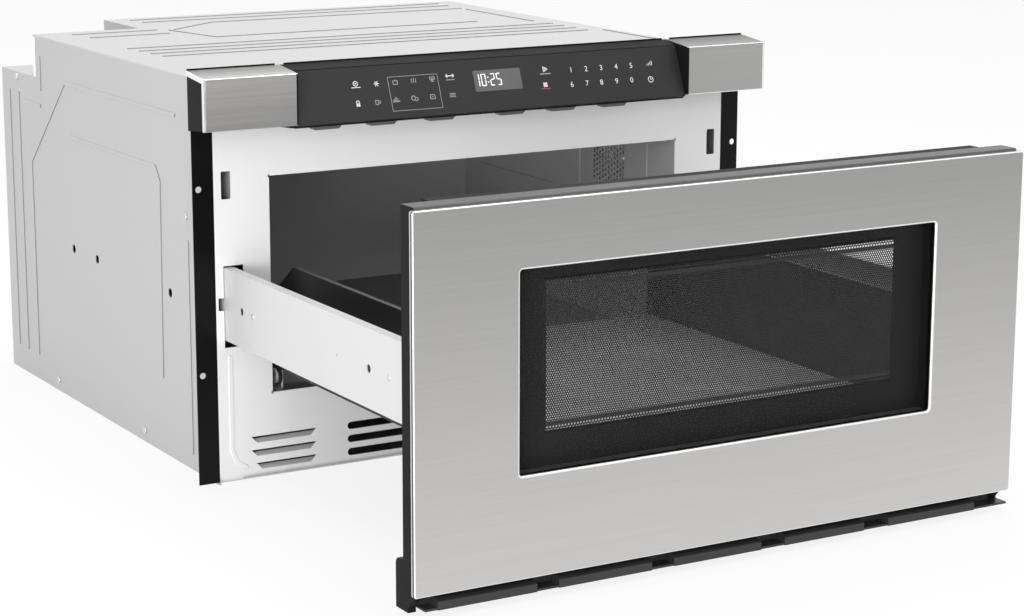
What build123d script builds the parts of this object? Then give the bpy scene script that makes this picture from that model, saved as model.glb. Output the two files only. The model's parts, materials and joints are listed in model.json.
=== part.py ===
from build123d import *
import math
import os

# A built-in microwave drawer, shown with the drawer pulled fully out.
# Millimetres. X is to the right, the front faces -Y, Z is up.
# The origin is the centre of the case's base, on the surface that it stands on.

# ---- case ----
case_width = 558.0
case_height = 375.6
case_depth = 560.0
case_steel = 0.8
base_steel = 1.0
front_steel = 1.2
case_bend = 2.0
base_flange = 15.0
back_lip = 12.0
recess_width = 119.0
recess_depth = 99.6
recess_height = 44.6
side_hole_radius = 4.5
side_hole_height = 163.5
side_hole_setbacks = (107.1, 294.6, 359.4)
contact_gap = 0.3
running_fit = 0.05

# ---- screws ----
screw_radius = 3.6
screw_height = 2.2
screw_shank = 1.7
screw_length = 8.0
screw_inset = 14.0
screw_edge = 8.0
cross_slot = 0.8

# ---- slots in the back panel ----
grille_columns = 2
grille_rows = 6
grille_start = 70.0
grille_length = 70.0
grille_gap = 20.0
grille_slot = 6.0
grille_pitch = 16.0
grille_drop = 45.0
low_grille_drop = 150.0

# ---- pressed ribs in the sheets, placed from the front, the back and the top ----
rib_width = 5.0
rib_height = 0.8
rib_root = 0.3
rib_slope = 35.0
side_rib_drop = 41.1
side_rib_far = 84.2
side_rib_knee = 125.4
side_rib_rear = 23.0
side_rib_foot = 29.0
front_rib_setback = 61.5
top_rib_count = 4
top_rib_start = 286.5
top_rib_pitch = 25.5
top_rib_margin = 34.0
rear_rib_setback = 20.0
pocket_front = 343.0
pocket_back = 82.0
edge_rib_inset = 13.0
edge_rib_top = 120.5
edge_rib_foot = 14.3
wall_rib_near = 52.0
wall_rib_far = 181.0
wall_rib_foot = 38.0
wall_rib_head = 12.0
wall_rib_rise = 5.0

# ---- cord bush ----
bush_radius = 9.0
bush_bore = 5.0
bush_flange = 13.0
bush_inside = 6.0
bush_outside = 4.0
bush_from_corner = 55.0
bush_rise = 22.0

# ---- front plate ----
opening_width = 447.4
opening_drop = 88.6
opening_bottom = 82.7
corner_relief = 3.0
plate_foot = 15.0
plate_bend = 9.0
latch_slot_inner = 262.0
latch_slot_outer = 271.6
latch_slot_height = 25.7
latch_slot_rise = 7.5
latch_slot_corner = 1.5
rail_slot_inner = 251.0
rail_slot_clearance = 0.7
rail_slot_below = 7.2
rail_slot_above = 1.6
lock_notch_width = 6.2
lock_notch_height = 12.0
louvre_inner = 179.4
louvre_outer = 246.3
louvre_height = 6.2
louvre_pitch = 12.9
louvre_lowest = 10.4
louvre_count = 3
louvre_depth = 5.0
louvre_slant = 0.95
louvre_gap = 2.8
louvre_low_inset = 5.0
slot_inner = 60.0
slot_outer = 146.3
slot_height = 7.2

# ---- mounting flanges ----
flange_reach = 20.6
flange_steel = 1.2
flange_return = 22.0
flange_foot = 3.0
flange_above_bar = 38.0
flange_hole_radius = 3.0
flange_hole_reach = 14.5
flange_hole_low = 106.6
flange_hole_spacing = 173.1

# ---- cavity ----
cavity_depth = 428.0
liner_steel = 0.8
vent_hole_radius = 2.0
vent_pitch = 5.6
vent_columns = 11
vent_rows = 8
vent_setback = 95.0
vent_drop = 59.0
shade_depth = 30.0
shade_wall = 1.0
socket_radius = 8.0
socket_length = 16.0
bulb_radius = 11.0

# ---- control bar ----
face_width = 606.4
bar_projection = 39.0
bar_rise = 12.7
bar_top_slope = 4.0
bar_front_height = 47.0
bar_bottom_slope = 4.3
panel_width = 422.0
panel_setback_top = 17.0
panel_setback_bottom = 36.0
panel_edge_top = 0.5
panel_edge_bottom = 1.3
panel_shelf = 1.2
panel_sag = 2.0
glass_thickness = 3.5
skin_steel = 0.8
skin_return = 4.5
housing_wall = 2.5
seal_thickness = 1.4
seal_height = 5.5
seal_rise = 1.3
seal_gap = 9.0
tab_height = 4.0
tab_width = 34.0
tab_slant = 5.0
tab_depth = 11.0
tab_centres = (-179.0, -122.0, -60.5, 15.8, 72.3, 130.4)
display_centre = (6.0, 4.0)
display_size = (52.0, 20.0)
board_depth = 7.0
board_thickness = 1.6
control_chips = (-150.0, -90.0, 80.0, 120.0, 160.0)

# ---- door ----
travel = 387.0
door_below_bar = 10.5
door_bottom = 18.7
door_gap = 1.5
skin_fold = 5.0
skin_bend = 2.0
frame_inset = 3.3
frame_depth = 25.0
frame_corner = 1.5
frame_nose = 2.0
frame_wall = 2.5
core_width = 550.0
core_rise = 2.2
core_foot_gap = 1.0
core_window_inset = 5.0
choke_depth = 6.0
choke_margin = 8.0
choke_land = 22.0
window_width = 415.0
window_drop = 54.8
window_height = 167.1
window_lip = 2.6
lip_clearance = 0.2
mesh_width = 352.0
mesh_drop = 13.2
mesh_height = 125.5
mesh_depth = 16.5
mesh_steel = 0.8
mesh_press = 1.0
door_glass_thickness = 4.0
inner_glass_thickness = 3.0
panel_margin = 14.0
panel_clearance = 0.3
pane_gap = 0.3
trim_bottom = 5.8
trim_floor = 2.0
trim_step = 6.8
trim_gap = 0.6
trim_below_skin = 3.8
trim_recess = 16.0
trim_wall = 2.0
ear_top = 44.0
ear_bottom = 2.0
ear_width = 7.0
ear_setback = 17.0
ear_toe = 4.6
ear_round = 6.0
trim_bars = ((-282.0, -190.6), (-170.0, -80.0), (-58.0, 31.0), (55.5, 140.5), (167.0, 264.0))

# ---- drawer ----
rail_outer = 270.3
rail_width = 10.0
rail_steel = 1.2
rail_bottom = 137.5
rail_top = 205.4
rail_inside = 80.0
rail_middle = 171.5
rail_hole_radius = 3.6
rail_hole_places = (36.9, 286.9)
rivet_places = (61.1, 322.9)
rivet_radius = 3.2
rivet_height = 1.2
basket_width = 416.0
basket_wall = 5.0
basket_top = 202.5
basket_back_inside = 15.0
basket_slant = 30.0
basket_drop = 21.5
basket_corner = 12.0
pan_steel = 1.0
pan_flange = 10.0
pan_lip = 3.0
tray_thickness = 2.5
tray_gap = 1.0
tray_corner = 8.0

# ---- latch hooks and their switches ----
hook_reach = 33.0
hook_thickness = 4.0
hook_below = 6.0
hook_above = 5.0
hook_nose = 5.0
hook_barb = 9.0
hook_plate_steel = 0.8
switch_length = 28.0
switch_width = 11.0
switch_foot = 12.0
plunger_radius = 2.0
plunger_stroke = 3.0

# ---- telescopic slides ----
slide_steel = 1.2
slide_length = 400.0
slide_clearance = 0.4
slide_start = 4.0
slide_half_height = 11.0
slide_lip = 6.5
slide_foot_width = 30.0
slide_foot_steel = 1.6
slide_foot_rise = 9.0
slide_foot_front = 45.0
slide_foot_back = 60.0

# ---- rack and pinion ----
gear_module = 0.8
pinion_teeth = 16
pressure_angle = 20.0
flank_steps = 4
gear_backlash = 0.12
rack_base = 2.0
gear_width = 6.0
gear_from_rail = 0.6
pinion_behind_plate = 33.0
pinion_shaft_radius = 2.5
pinion_seat = 10.0
motor_radius = 24.5
motor_thickness = 17.0
motor_from_slide = 11.0
bracket_half = 14.0

# ---- pan rollers ----
roller_radius = 9.0
roller_width = 4.0
roller_height = 13.3
roller_behind_plate = 8.0
roller_axle_radius = 2.0
roller_inside_pan = 1.2
roller_chamfer = 0.8
roller_ear = 2.0
roller_foot = 8.0
roller_foot_steel = 1.5

# ---- stirrer and waveguide ----
stirrer_box = 156.0
stirrer_box_height = 27.0
stirrer_box_seat = 6.0
stirrer_setback = 220.0
stirrer_radius = 62.0
stirrer_rise = 12.0
stirrer_shaft = 3.0
stirrer_hub = 9.0
stirrer_hub_height = 8.0
stirrer_blades = 4
stirrer_blade = 26.0
stirrer_twist = 18.0
blade_steel = 0.8
shaft_seat = 8.0
shaft_clearance = 2.0
cover_margin = 4.0
cover_thickness = 1.5
cover_corner = 12.0
duct_width = 90.0
duct_height = 38.0
motor_ear = 10.0
motor_ear_width = 12.0
motor_ear_steel = 1.5

# ---- microwave source and supply ----
magnetron_behind_cavity = 66.0
magnetron_width = 84.0
magnetron_depth = 76.0
magnetron_height = 64.0
yoke_steel = 1.6
tube_radius = 19.0
fin_count = 6
fin_pitch = 9.0
fin_inset = 4.0
fin_steel = 0.8
filter_height = 35.0
filter_width = 56.0
antenna_radius = 9.0
antenna_length = 24.0
antenna_clearance = 4.0
transformer_width = 100.0
transformer_height = 84.0
transformer_stack = 58.0
transformer_behind_cavity = 66.0
transformer_x = -150.0
coil_gap = 0.5
capacitor_x = 20.0
capacitor_width = 90.0
capacitor_thickness = 36.0
capacitor_height = 54.0
terminal_spread = 28.0
terminal_radius = 4.0
terminal_height = 16.0
tab_blade = 6.0
strap_steel = 1.2
strap_width = 12.0
strap_height = 20.0
strap_foot = 16.0
board_stand = 10.0
board_from_cavity = 30.0
board_from_back = 20.0
board_height = 70.0
board_post = 6.0
filter_coil = 14.0
filter_part = 15.0

# ---- cooling fan ----
fan_radius = 50.0
fan_x = 116.0
fan_height = 240.0
fan_plate_margin = 4.0
fan_ring_depth = 30.0
fan_foot = 25.0
fan_running_gap = 4.0
fan_hub_radius = 13.0
fan_hub_length = 18.0
fan_shaft_seat = 10.0
fan_blade_wall = 1.4
fan_blade_width = 18.0
fan_twist = 40.0
blade_count = 7
spider_width = 10.0
spider_thickness = 3.0
fan_motor_radius = 28.0
fan_motor_length = 34.0
fan_nose_radius = 10.0

# ---- places worked out from the sizes ----
side = case_width / 2
front = -case_depth / 2
back = case_depth / 2
plate_back = front + front_steel
inner_side = side - case_steel
inner_top = case_height - case_steel
opening_side = opening_width / 2
opening_top = case_height - opening_drop
latch_slot_top = opening_top + latch_slot_rise
latch_slot_bottom = latch_slot_top - latch_slot_height
cavity_back = plate_back + cavity_depth
vent_bottom = opening_top - vent_drop
liner_side = opening_side + liner_steel
liner_top = opening_top + liner_steel
liner_bottom = opening_bottom - liner_steel
recess_x = -side + recess_width
recess_y = back - recess_depth
recess_z = case_height - recess_height
bush_x = recess_x - bush_from_corner
bush_z = recess_z + bush_rise
face_side = face_width / 2
panel_side = panel_width / 2
bar_front = front - bar_projection
bar_back_top = case_height + bar_rise
bar_front_top = bar_back_top - bar_top_slope
bar_bottom = bar_front_top - bar_front_height
bar_back_bottom = bar_bottom - bar_bottom_slope
door_face = bar_front - travel
door_top = bar_bottom - door_below_bar
core_back = front - door_gap - travel
core_side = core_width / 2
core_bottom = ear_top + core_foot_gap
frame_back = door_face + frame_depth
window_side = window_width / 2
window_top = door_top - window_drop
window_bottom = window_top - window_height
mesh_top = window_top - mesh_drop
mesh_bottom = mesh_top - mesh_height
glass_far = window_lip + door_glass_thickness
screen_far = mesh_depth + mesh_steel
inner_glass_far = screen_far + pane_gap + inner_glass_thickness
rail_inner = rail_outer - rail_width
rail_web = rail_outer - rail_steel
rail_back = front + rail_inside
basket_side = basket_width / 2
basket_back = front + basket_back_inside
roller_y = plate_back + roller_behind_plate
roller_z = opening_bottom + roller_height
pan_bottom = roller_z + roller_radius + contact_gap
pan_top = pan_bottom + pan_steel
pan_side = basket_side + pan_flange
pitch_radius = gear_module * pinion_teeth / 2
gear_root = 1.25 * gear_module
rack_pitch_z = rail_bottom + rail_steel + rack_base + gear_root
pinion_y = front + pinion_behind_plate
pinion_z = rack_pitch_z + pitch_radius
gear_outer = rail_web - gear_from_rail
gear_inner = gear_outer - gear_width
inner_lip = rail_web - slide_steel - slide_lip
middle_web = inner_lip - slide_clearance - slide_steel
outer_web = middle_web - slide_clearance - slide_steel
middle_half = slide_half_height + slide_clearance + slide_steel
outer_half = middle_half + slide_clearance + slide_steel
slide_front = plate_back + slide_start
motor_face = outer_web - motor_from_slide
hook_x = (latch_slot_inner + latch_slot_outer) / 2
hook_low = latch_slot_bottom + hook_below
hook_high = latch_slot_top - hook_above
switch_front = front - door_gap + hook_reach + contact_gap + plunger_stroke
stirrer_y = front + stirrer_setback
magnetron_y = cavity_back + magnetron_behind_cavity
transformer_y = cavity_back + transformer_behind_cavity
fan_y = magnetron_y
panel_top = (front - panel_setback_top, bar_front_top - panel_edge_top)
panel_low = (front - panel_setback_bottom, bar_bottom - panel_edge_bottom)
panel_run = math.dist(panel_top, panel_low)
panel_normal = ((panel_low[1] - panel_top[1]) / panel_run, (panel_top[0] - panel_low[0]) / panel_run)
panel_plane = Plane(origin=(0, (panel_top[0] + panel_low[0]) / 2, (panel_top[1] + panel_low[1]) / 2),
                    x_dir=(1, 0, 0), z_dir=(0, panel_normal[0], panel_normal[1]))


# ---- shapes that many pieces use ----
def middle(span):
    return (span[0] + span[1]) / 2


def length(span):
    return span[1] - span[0]


def block(x, y, z):
    return Pos(middle(x), middle(y), middle(z)) * Box(length(x), length(y), length(z))


def rod_x(radius, x, y, z):
    return Pos(middle(x), y, z) * Rot(0, 90, 0) * Cylinder(radius, length(x))


def rod_y(radius, x, y, z):
    return Pos(x, middle(y), z) * Rot(90, 0, 0) * Cylinder(radius, length(y))


def rod_z(radius, x, y, z):
    return Pos(x, y, middle(z)) * Cylinder(radius, length(z))


def outline(points):
    return make_face(Polyline(*points, close=True))


# A prism along X from a face drawn in (y, z).
def bar_x(face, x):
    return extrude(Plane.YZ.offset(x[0]) * face, length(x), dir=(1, 0, 0))


# A prism along X whose points are (y, z).
def prism_x(points, x):
    return bar_x(outline(points), x)


# A prism along Y whose points are (x, z).
def prism_y(points, y):
    return extrude(Plane.XZ.offset(-y[1]) * outline(points), length(y), dir=(0, -1, 0))


# Rounds the corner of a face that lies nearest to a point of its plane.
def rounded(face, point, radius):
    corner = face.vertices().sort_by_distance((point[0], point[1], 0))[0]
    return fillet(corner, radius)


def mirrored(shape):
    return mirror(shape, about=Plane.YZ)


def both_sides(shape):
    return shape + mirrored(shape)


# A rib pressed out of a face, with round ends and sloping sides.
def rib(plane, start, end):
    run = math.dist(start, end)
    angle = math.degrees(math.atan2(end[1] - start[1], end[0] - start[0]))
    centre = Pos((start[0] + end[0]) / 2, (start[1] + end[1]) / 2, -rib_root)
    slot = plane * centre * Rot(0, 0, angle) * SlotCenterToCenter(run, rib_width)
    return extrude(slot, rib_height + rib_root, taper=rib_slope)


# Ribs that run through a list of corners.
def rib_path(plane, corners):
    path = rib(plane, corners[0], corners[1])
    for start, end in zip(corners[1:], corners[2:]):
        path += rib(plane, start, end)
    return path


# A pan-head screw with a cross recess, its head standing on the plane at a point.
def screw(plane, point):
    head = Pos(0, 0, screw_height / 2) * Cylinder(screw_radius, screw_height)
    head = fillet(head.edges().group_by(Axis.Z)[-1], screw_height * 0.45)
    shank = Pos(0, 0, -screw_length / 2) * Cylinder(screw_shank, screw_length)
    arm = screw_radius * 1.2
    cross = Box(arm, cross_slot, 2 * cross_slot) + Box(cross_slot, arm, 2 * cross_slot)
    return plane * Pos(point[0], point[1], 0) * (head + shank - Pos(0, 0, screw_height) * cross)


left_face = Plane(origin=(-side, 0, 0), x_dir=(0, -1, 0), z_dir=(-1, 0, 0))
right_face = Plane(origin=(side, 0, 0), x_dir=(0, 1, 0), z_dir=(1, 0, 0))
top_face = Plane.XY.offset(case_height)
front_face = Plane.XZ.offset(-front)
back_face = Plane(origin=(0, back, 0), x_dir=(-1, 0, 0), z_dir=(0, 1, 0))
liner_wall = Plane(origin=(opening_side, 0, 0), x_dir=(0, -1, 0), z_dir=(-1, 0, 0))


# ---- case sheets ----
def side_ribs():
    high = case_height - side_rib_drop
    knee = front + side_rib_knee
    far = back - side_rib_far
    rear = back - side_rib_rear
    low = side_rib_foot
    seam = front + front_rib_setback
    return (
        [(front + 85.7, high + 1.5), (far - 105.1, high), (far, high - 95.0), (far, low)],
        [(front + 359, 280), (knee + 10, 281), (knee, 268), (knee + 4.5, 77)],
        [(seam, 220), (seam, 17)],
        [(rear - 28, 308), (rear - 28, low)],
        [(rear, 308), (rear, low)],
        [(rear - 96, high + 18.5), (rear - 96, high - 14.5)],
        [(rear - 93, 302), (rear - 41, 302)],
    )


def top_ribs():
    rear = back - rear_rib_setback
    near = front + pocket_front
    far = back - pocket_back
    right = side - top_rib_margin
    ribs = []
    for n in range(top_rib_count):
        y = front + top_rib_start - top_rib_pitch * n
        ribs.append([(-right + 4 + 2 * n, y), (right + 7 - n, y)])
    ribs += [[(-right + 2, recess_y - 26.4), (recess_x + 9, recess_y - 26.4)],
             [(-right + 8, recess_y - 62.4), (recess_x + 8, recess_y - 62.4)],
             [(recess_x + 25, rear), (right + 4, rear)],
             [(recess_x + 28, rear - 27), (right + 2, rear - 27)],
             [(recess_x + 22, near + 82), (recess_x + 39, near), (right - 56, near)],
             [(recess_x + 22, near + 82), (recess_x + 92, far + 1), (right, far)],
             [(right + 2.5, far - 13), (right + 2.5, near - 24)],
             [(right + 23, front + 203), (right + 23, front + 107)]]
    return ribs


def recess_cut(grow):
    x = (-side - 1, recess_x + grow)
    return block(x, (recess_y - grow, back + 1), (recess_z - grow, case_height + 1))


def outer_case():
    span = (plate_back, back)
    shell = block((-side, side), span, (0, case_height))
    shell = fillet(shell.edges().filter_by(Axis.Y).group_by(Axis.Z)[-1], case_bend)
    hollow = block((-inner_side, inner_side), (front - 1, back + 1), (-1, inner_top))
    hollow = fillet(hollow.edges().filter_by(Axis.Y).group_by(Axis.Z)[-1], case_bend - case_steel)
    case = shell - hollow - recess_cut(0)
    for corners in side_ribs():
        ribs = rib_path(right_face, corners)
        case += ribs + mirrored(ribs)
    for corners in top_ribs():
        case += rib_path(top_face, corners)
    for setback in side_hole_setbacks:
        case -= rod_x(side_hole_radius, (-side - 2, side + 2), front + setback, side_hole_height)
    for place in side_screw_places():
        case -= rod_x(screw_shank, (-side - 2, side + 2), place[0], place[1])
    return case


def back_screw_places():
    x = side - screw_inset
    high = inner_top - screw_edge
    return ((-x, screw_edge), (0, screw_edge), (x, screw_edge), (recess_x + screw_inset, high), (x, high))


def side_screw_places():
    low = screw_edge + 4
    return ((front + 63.6, 243.8), (front + 178.7, low), (front + 416.6, low), (back - 48.5, recess_z - 5.4))


def base_pan():
    floor = block((-inner_side, inner_side), (front + plate_bend, back - case_steel), (0, base_steel))
    wall = block((inner_side - base_steel, inner_side), (plate_back, back - case_steel), (0, base_flange))
    pan = floor + both_sides(wall)
    for place in side_screw_places()[1:3]:
        pan -= rod_x(screw_shank, (-side, side), place[0], place[1])
    return pan


def back_panel():
    panel = block((-inner_side, inner_side), (back - case_steel, back), (0, inner_top))
    panel = fillet(panel.edges().filter_by(Axis.Y).group_by(Axis.Z)[-1], case_bend)
    through = (back - 2, back + 1)
    panel -= block((-side, recess_x), through, (recess_z - case_steel, case_height))
    lip = block((inner_side - case_steel, inner_side), (back - back_lip, back - case_steel),
                (base_flange, inner_top - case_bend))
    panel += lip
    panel += mirrored(lip) - recess_cut(case_steel)
    for column in range(grille_columns):
        for row in range(grille_rows):
            left = grille_start + (grille_length + grille_gap) * column
            bottom = fan_height - grille_drop + grille_pitch * row
            z = (bottom, bottom + grille_slot)
            panel -= block((left, left + grille_length), through, z)
            z = (bottom - low_grille_drop, bottom - low_grille_drop + grille_slot)
            panel -= block((-left - grille_length, -left), through, z)
    for x, z in back_screw_places():
        panel -= rod_y(screw_shank, x, through, z)
    return panel


def recess_panel():
    floor = block((-inner_side, recess_x), (recess_y - case_steel, back), (recess_z - case_steel, recess_z))
    rear = block((-inner_side, recess_x), (recess_y - case_steel, recess_y), (recess_z, inner_top))
    rear = fillet(rear.edges().filter_by(Axis.Y).group_by(Axis.Z)[-1].sort_by(Axis.X)[0], case_bend)
    inner = block((recess_x, recess_x + case_steel), (recess_y - case_steel, back - case_steel),
                  (recess_z - case_steel, inner_top))
    panel = floor + rear + inner
    return panel - rod_y(bush_radius, bush_x, (recess_y - 2, recess_y + 1), bush_z)


def cord_bush():
    depths = (recess_y - bush_inside, recess_y + bush_outside)
    body = rod_y(bush_radius, bush_x, (depths[0], recess_y), bush_z)
    body += rod_y(bush_flange, bush_x, (recess_y, depths[1]), bush_z)
    return body - rod_y(bush_bore, bush_x, (depths[0] - 1, depths[1] + 1), bush_z)


# ---- front plate ----
# The lowest louvre stops a little short of the others.
def louvre_polygon(bottom):
    slant = louvre_height * louvre_slant
    top = bottom + louvre_height
    outer = louvre_outer - (louvre_low_inset if bottom == louvre_lowest else 0)
    return [(-outer + slant, bottom), (-louvre_inner - slant, bottom), (-louvre_inner, top), (-outer, top)]


def louvre_vane(bottom):
    top = bottom + louvre_height - louvre_gap
    rear = front + louvre_depth
    slope = [(front, bottom), (front + 1, bottom), (rear, top), (rear - 1, top)]
    return prism_x(slope, (-louvre_outer, -louvre_inner))


def rail_slot():
    slot = block((rail_slot_inner, rail_outer + rail_slot_clearance), (front - 1, plate_back + 1),
                 (rail_bottom - rail_slot_below, rail_top + rail_slot_above))
    notch = block((rail_outer, rail_outer + lock_notch_width), (front - 1, plate_back + 1),
                  (rail_middle - lock_notch_height / 2, rail_middle + lock_notch_height / 2))
    return slot + notch


def front_plate():
    foot_back = front + plate_foot
    foot_top = base_steel + front_steel
    section = outline([(front, base_steel), (foot_back, base_steel), (foot_back, foot_top),
                       (plate_back, foot_top), (plate_back, inner_top), (front, inner_top)])
    section = rounded(section, (front, base_steel), plate_bend)
    section = rounded(section, (plate_back, foot_top), plate_bend - front_steel)
    sheet = bar_x(section, (-side, side))
    beside_foot = (inner_side - base_steel - contact_gap, side + 1)
    sheet -= both_sides(block(beside_foot, (plate_back, foot_back + 1), (0, base_flange + 1)))
    cut = (front - 1, plate_back + 1)
    sheet -= block((-opening_side, opening_side), cut, (opening_bottom, opening_top))
    for x in (-opening_side, opening_side):
        for z in (opening_bottom, opening_top):
            sheet -= rod_y(corner_relief / 2, x, cut, z)
    latch = block((latch_slot_inner, latch_slot_outer), cut, (latch_slot_bottom, latch_slot_top))
    latch = fillet(latch.edges().filter_by(Axis.Y), latch_slot_corner)
    holes = latch + rail_slot()
    for row in range(louvre_count):
        bottom = louvre_lowest + row * louvre_pitch
        slot = Pos((slot_inner + slot_outer) / 2, 0, bottom + slot_height / 2)
        slot *= Rot(90, 0, 0) * extrude(SlotOverall(slot_outer - slot_inner, slot_height), 2, both=True)
        holes += Pos(0, front, 0) * slot
    sheet -= both_sides(holes)
    for row in range(louvre_count):
        bottom = louvre_lowest + row * louvre_pitch
        opening = prism_y(louvre_polygon(bottom), cut)
        vane = louvre_vane(bottom)
        sheet = sheet - both_sides(opening) + both_sides(vane)
    near = -side + edge_rib_inset
    low = edge_rib_foot
    corners = [(near, edge_rib_top), (near, low + 17.7), (near + 5, low + 5.7), (near + 14, low)]
    edge = rib_path(front_face, corners)
    return sheet + both_sides(edge)


def mounting_flange():
    z = (flange_foot, bar_back_bottom + flange_above_bar)
    strip = block((side, side + flange_reach), (front, front + flange_steel), z)
    flange = strip + block((side, side + flange_steel), (front, front + flange_return), z)
    for height in (flange_hole_low, flange_hole_low + flange_hole_spacing):
        flange -= rod_y(flange_hole_radius, side + flange_hole_reach, (front - 1, front + 3), height)
    return flange


# ---- cavity ----
# Ribs pressed into the side walls, placed by (-y, z).
def wall_ribs():
    near = -front - wall_rib_near
    far = -front - wall_rib_far
    low = opening_bottom + wall_rib_foot
    high = opening_top - wall_rib_head
    level = basket_top + wall_rib_rise
    return ([(near, level), (near, high)], [(far, low), (far, high)], [(far - 54, level), (far - 209, level)])


def cavity_liner():
    depths = (plate_back, cavity_back + liner_steel)
    liner = block((-liner_side, liner_side), depths, (liner_bottom, liner_top))
    depths = (plate_back - 1, cavity_back)
    liner -= block((-opening_side, opening_side), depths, (opening_bottom, opening_top))
    half = stirrer_box / 2 - stirrer_box_seat
    mouth = (stirrer_y - half, stirrer_y + half)
    liner -= block((-half, half), mouth, (opening_top - 1, liner_top + 1))
    for corners in wall_ribs():
        ribs = rib_path(liner_wall, corners)
        liner += ribs + mirrored(ribs)
    holes = []
    for column in range(vent_columns):
        for row in range(vent_rows):
            shift = vent_pitch / 2 if column % 2 else 0
            y = front + vent_setback + column * vent_pitch
            z = vent_bottom + row * vent_pitch + shift
            holes.append(rod_x(vent_hole_radius, (opening_side - 1, liner_side + 1), y, z))
    return liner - holes


def waveguide():
    half = stirrer_box / 2
    steel = liner_steel
    rear = magnetron_y + duct_width / 2
    near = stirrer_y - half
    bottom = liner_top
    box_top = bottom + stirrer_box_height
    duct_top = bottom + duct_height
    box = block((-half, half), (near, stirrer_y + half), (bottom, box_top))
    duct = block((-duct_width / 2, duct_width / 2), (near, rear), (bottom, duct_top))
    box_air = block((-half + steel, half - steel), (near + steel, stirrer_y + half - steel),
                    (bottom - 1, box_top - steel))
    duct_air = block((-duct_width / 2 + steel, duct_width / 2 - steel), (near + steel, rear - steel),
                     (bottom + steel, duct_top - steel))
    guide = box + duct - box_air - duct_air
    guide -= rod_z(antenna_radius + antenna_clearance, 0, magnetron_y, (bottom - 1, bottom + 3))
    return guide - rod_z(stirrer_shaft + shaft_clearance, 0, stirrer_y, (box_top, duct_top + 2))


def stirrer_cover():
    half = stirrer_box / 2 + cover_margin
    y = (stirrer_y - half, stirrer_y + half)
    cover = block((-half, half), y, (opening_top - cover_thickness, opening_top))
    return fillet(cover.edges().filter_by(Axis.Z), cover_corner)


def stirrer_motor():
    bottom = liner_top + duct_height
    reach = motor_radius + motor_ear
    body = rod_z(motor_radius, 0, stirrer_y, (bottom, bottom + motor_thickness))
    half = motor_ear_width / 2
    ears = block((-reach, reach), (stirrer_y - half, stirrer_y + half), (bottom, bottom + motor_ear_steel))
    seat = (bottom - 1, bottom + shaft_seat + 1)
    return body + ears - rod_z(stirrer_shaft + running_fit, 0, stirrer_y, seat)


def stirrer_fan():
    top = liner_top + duct_height + shaft_seat
    level = liner_top + stirrer_rise
    half = stirrer_hub_height / 2
    shaft = rod_z(stirrer_shaft, 0, stirrer_y, (level - half, top))
    fan = shaft + rod_z(stirrer_hub, 0, stirrer_y, (level - half, level + half))
    blade_length = stirrer_radius - stirrer_shaft - 1
    blade_middle = stirrer_radius - blade_length / 2
    blade = Rot(stirrer_twist, 0, 0) * Box(blade_length, stirrer_blade, blade_steel)
    for n in range(stirrer_blades):
        turn = Rot(0, 0, 360 / stirrer_blades * n)
        fan += Pos(0, stirrer_y, level) * turn * Pos(blade_middle, 0, 0) * blade
    return fan


# ---- microwave source and supply ----
def magnetron():
    top = liner_top
    half_x = magnetron_width / 2
    half_y = magnetron_depth / 2
    low = top - magnetron_height
    y = (magnetron_y - half_y, magnetron_y + half_y)
    yoke = block((-half_x, half_x), y, (low, top))
    yoke -= block((-half_x - 1, half_x + 1), (y[0] + yoke_steel, y[1] - yoke_steel),
                  (low + yoke_steel, top - yoke_steel))
    tube = yoke + rod_z(tube_radius, 0, magnetron_y, (low, top))
    fin_reach = half_x - fin_inset
    for n in range(fin_count):
        z = low + fin_pitch * (n + 1)
        tube += block((-fin_reach, fin_reach), y, (z, z + fin_steel))
    half = filter_width / 2
    tube += block((-half, half), (magnetron_y - half, magnetron_y + half), (low - filter_height, low))
    return tube + rod_z(antenna_radius, 0, magnetron_y, (top, top + antenna_length))


def transformer_core():
    half = transformer_width / 2
    limb = transformer_width / 6
    y = (transformer_y - transformer_stack / 2, transformer_y + transformer_stack / 2)
    low = base_steel
    high = base_steel + transformer_height
    core = block((transformer_x - half, transformer_x + half), y, (low, high))
    for x in (transformer_x - 1.5 * limb, transformer_x + 1.5 * limb):
        core -= block((x - limb / 2, x + limb / 2), (y[0] - 1, y[1] + 1), (low + limb, high - limb))
    return core


def transformer_windings():
    limb = transformer_width / 6
    half_stack = transformer_stack / 2
    reach = half_stack + limb - coil_gap
    low = base_steel + limb + coil_gap
    room = (transformer_height - 2 * limb - 2 * coil_gap) / 2
    coils = Part()
    for n in range(2):
        z = (low + n * room + coil_gap, low + (n + 1) * room - coil_gap)
        x = (transformer_x - 2 * limb + coil_gap, transformer_x + 2 * limb - coil_gap)
        coil = block(x, (transformer_y - reach, transformer_y + reach), z)
        coil = fillet(coil.edges().filter_by(Axis.Z), limb * 0.8)
        inside = (transformer_x - limb - contact_gap, transformer_x + limb + contact_gap)
        stack = (transformer_y - half_stack - contact_gap, transformer_y + half_stack + contact_gap)
        coils += coil - block(inside, stack, (z[0] - 1, z[1] + 1))
    return coils


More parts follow.
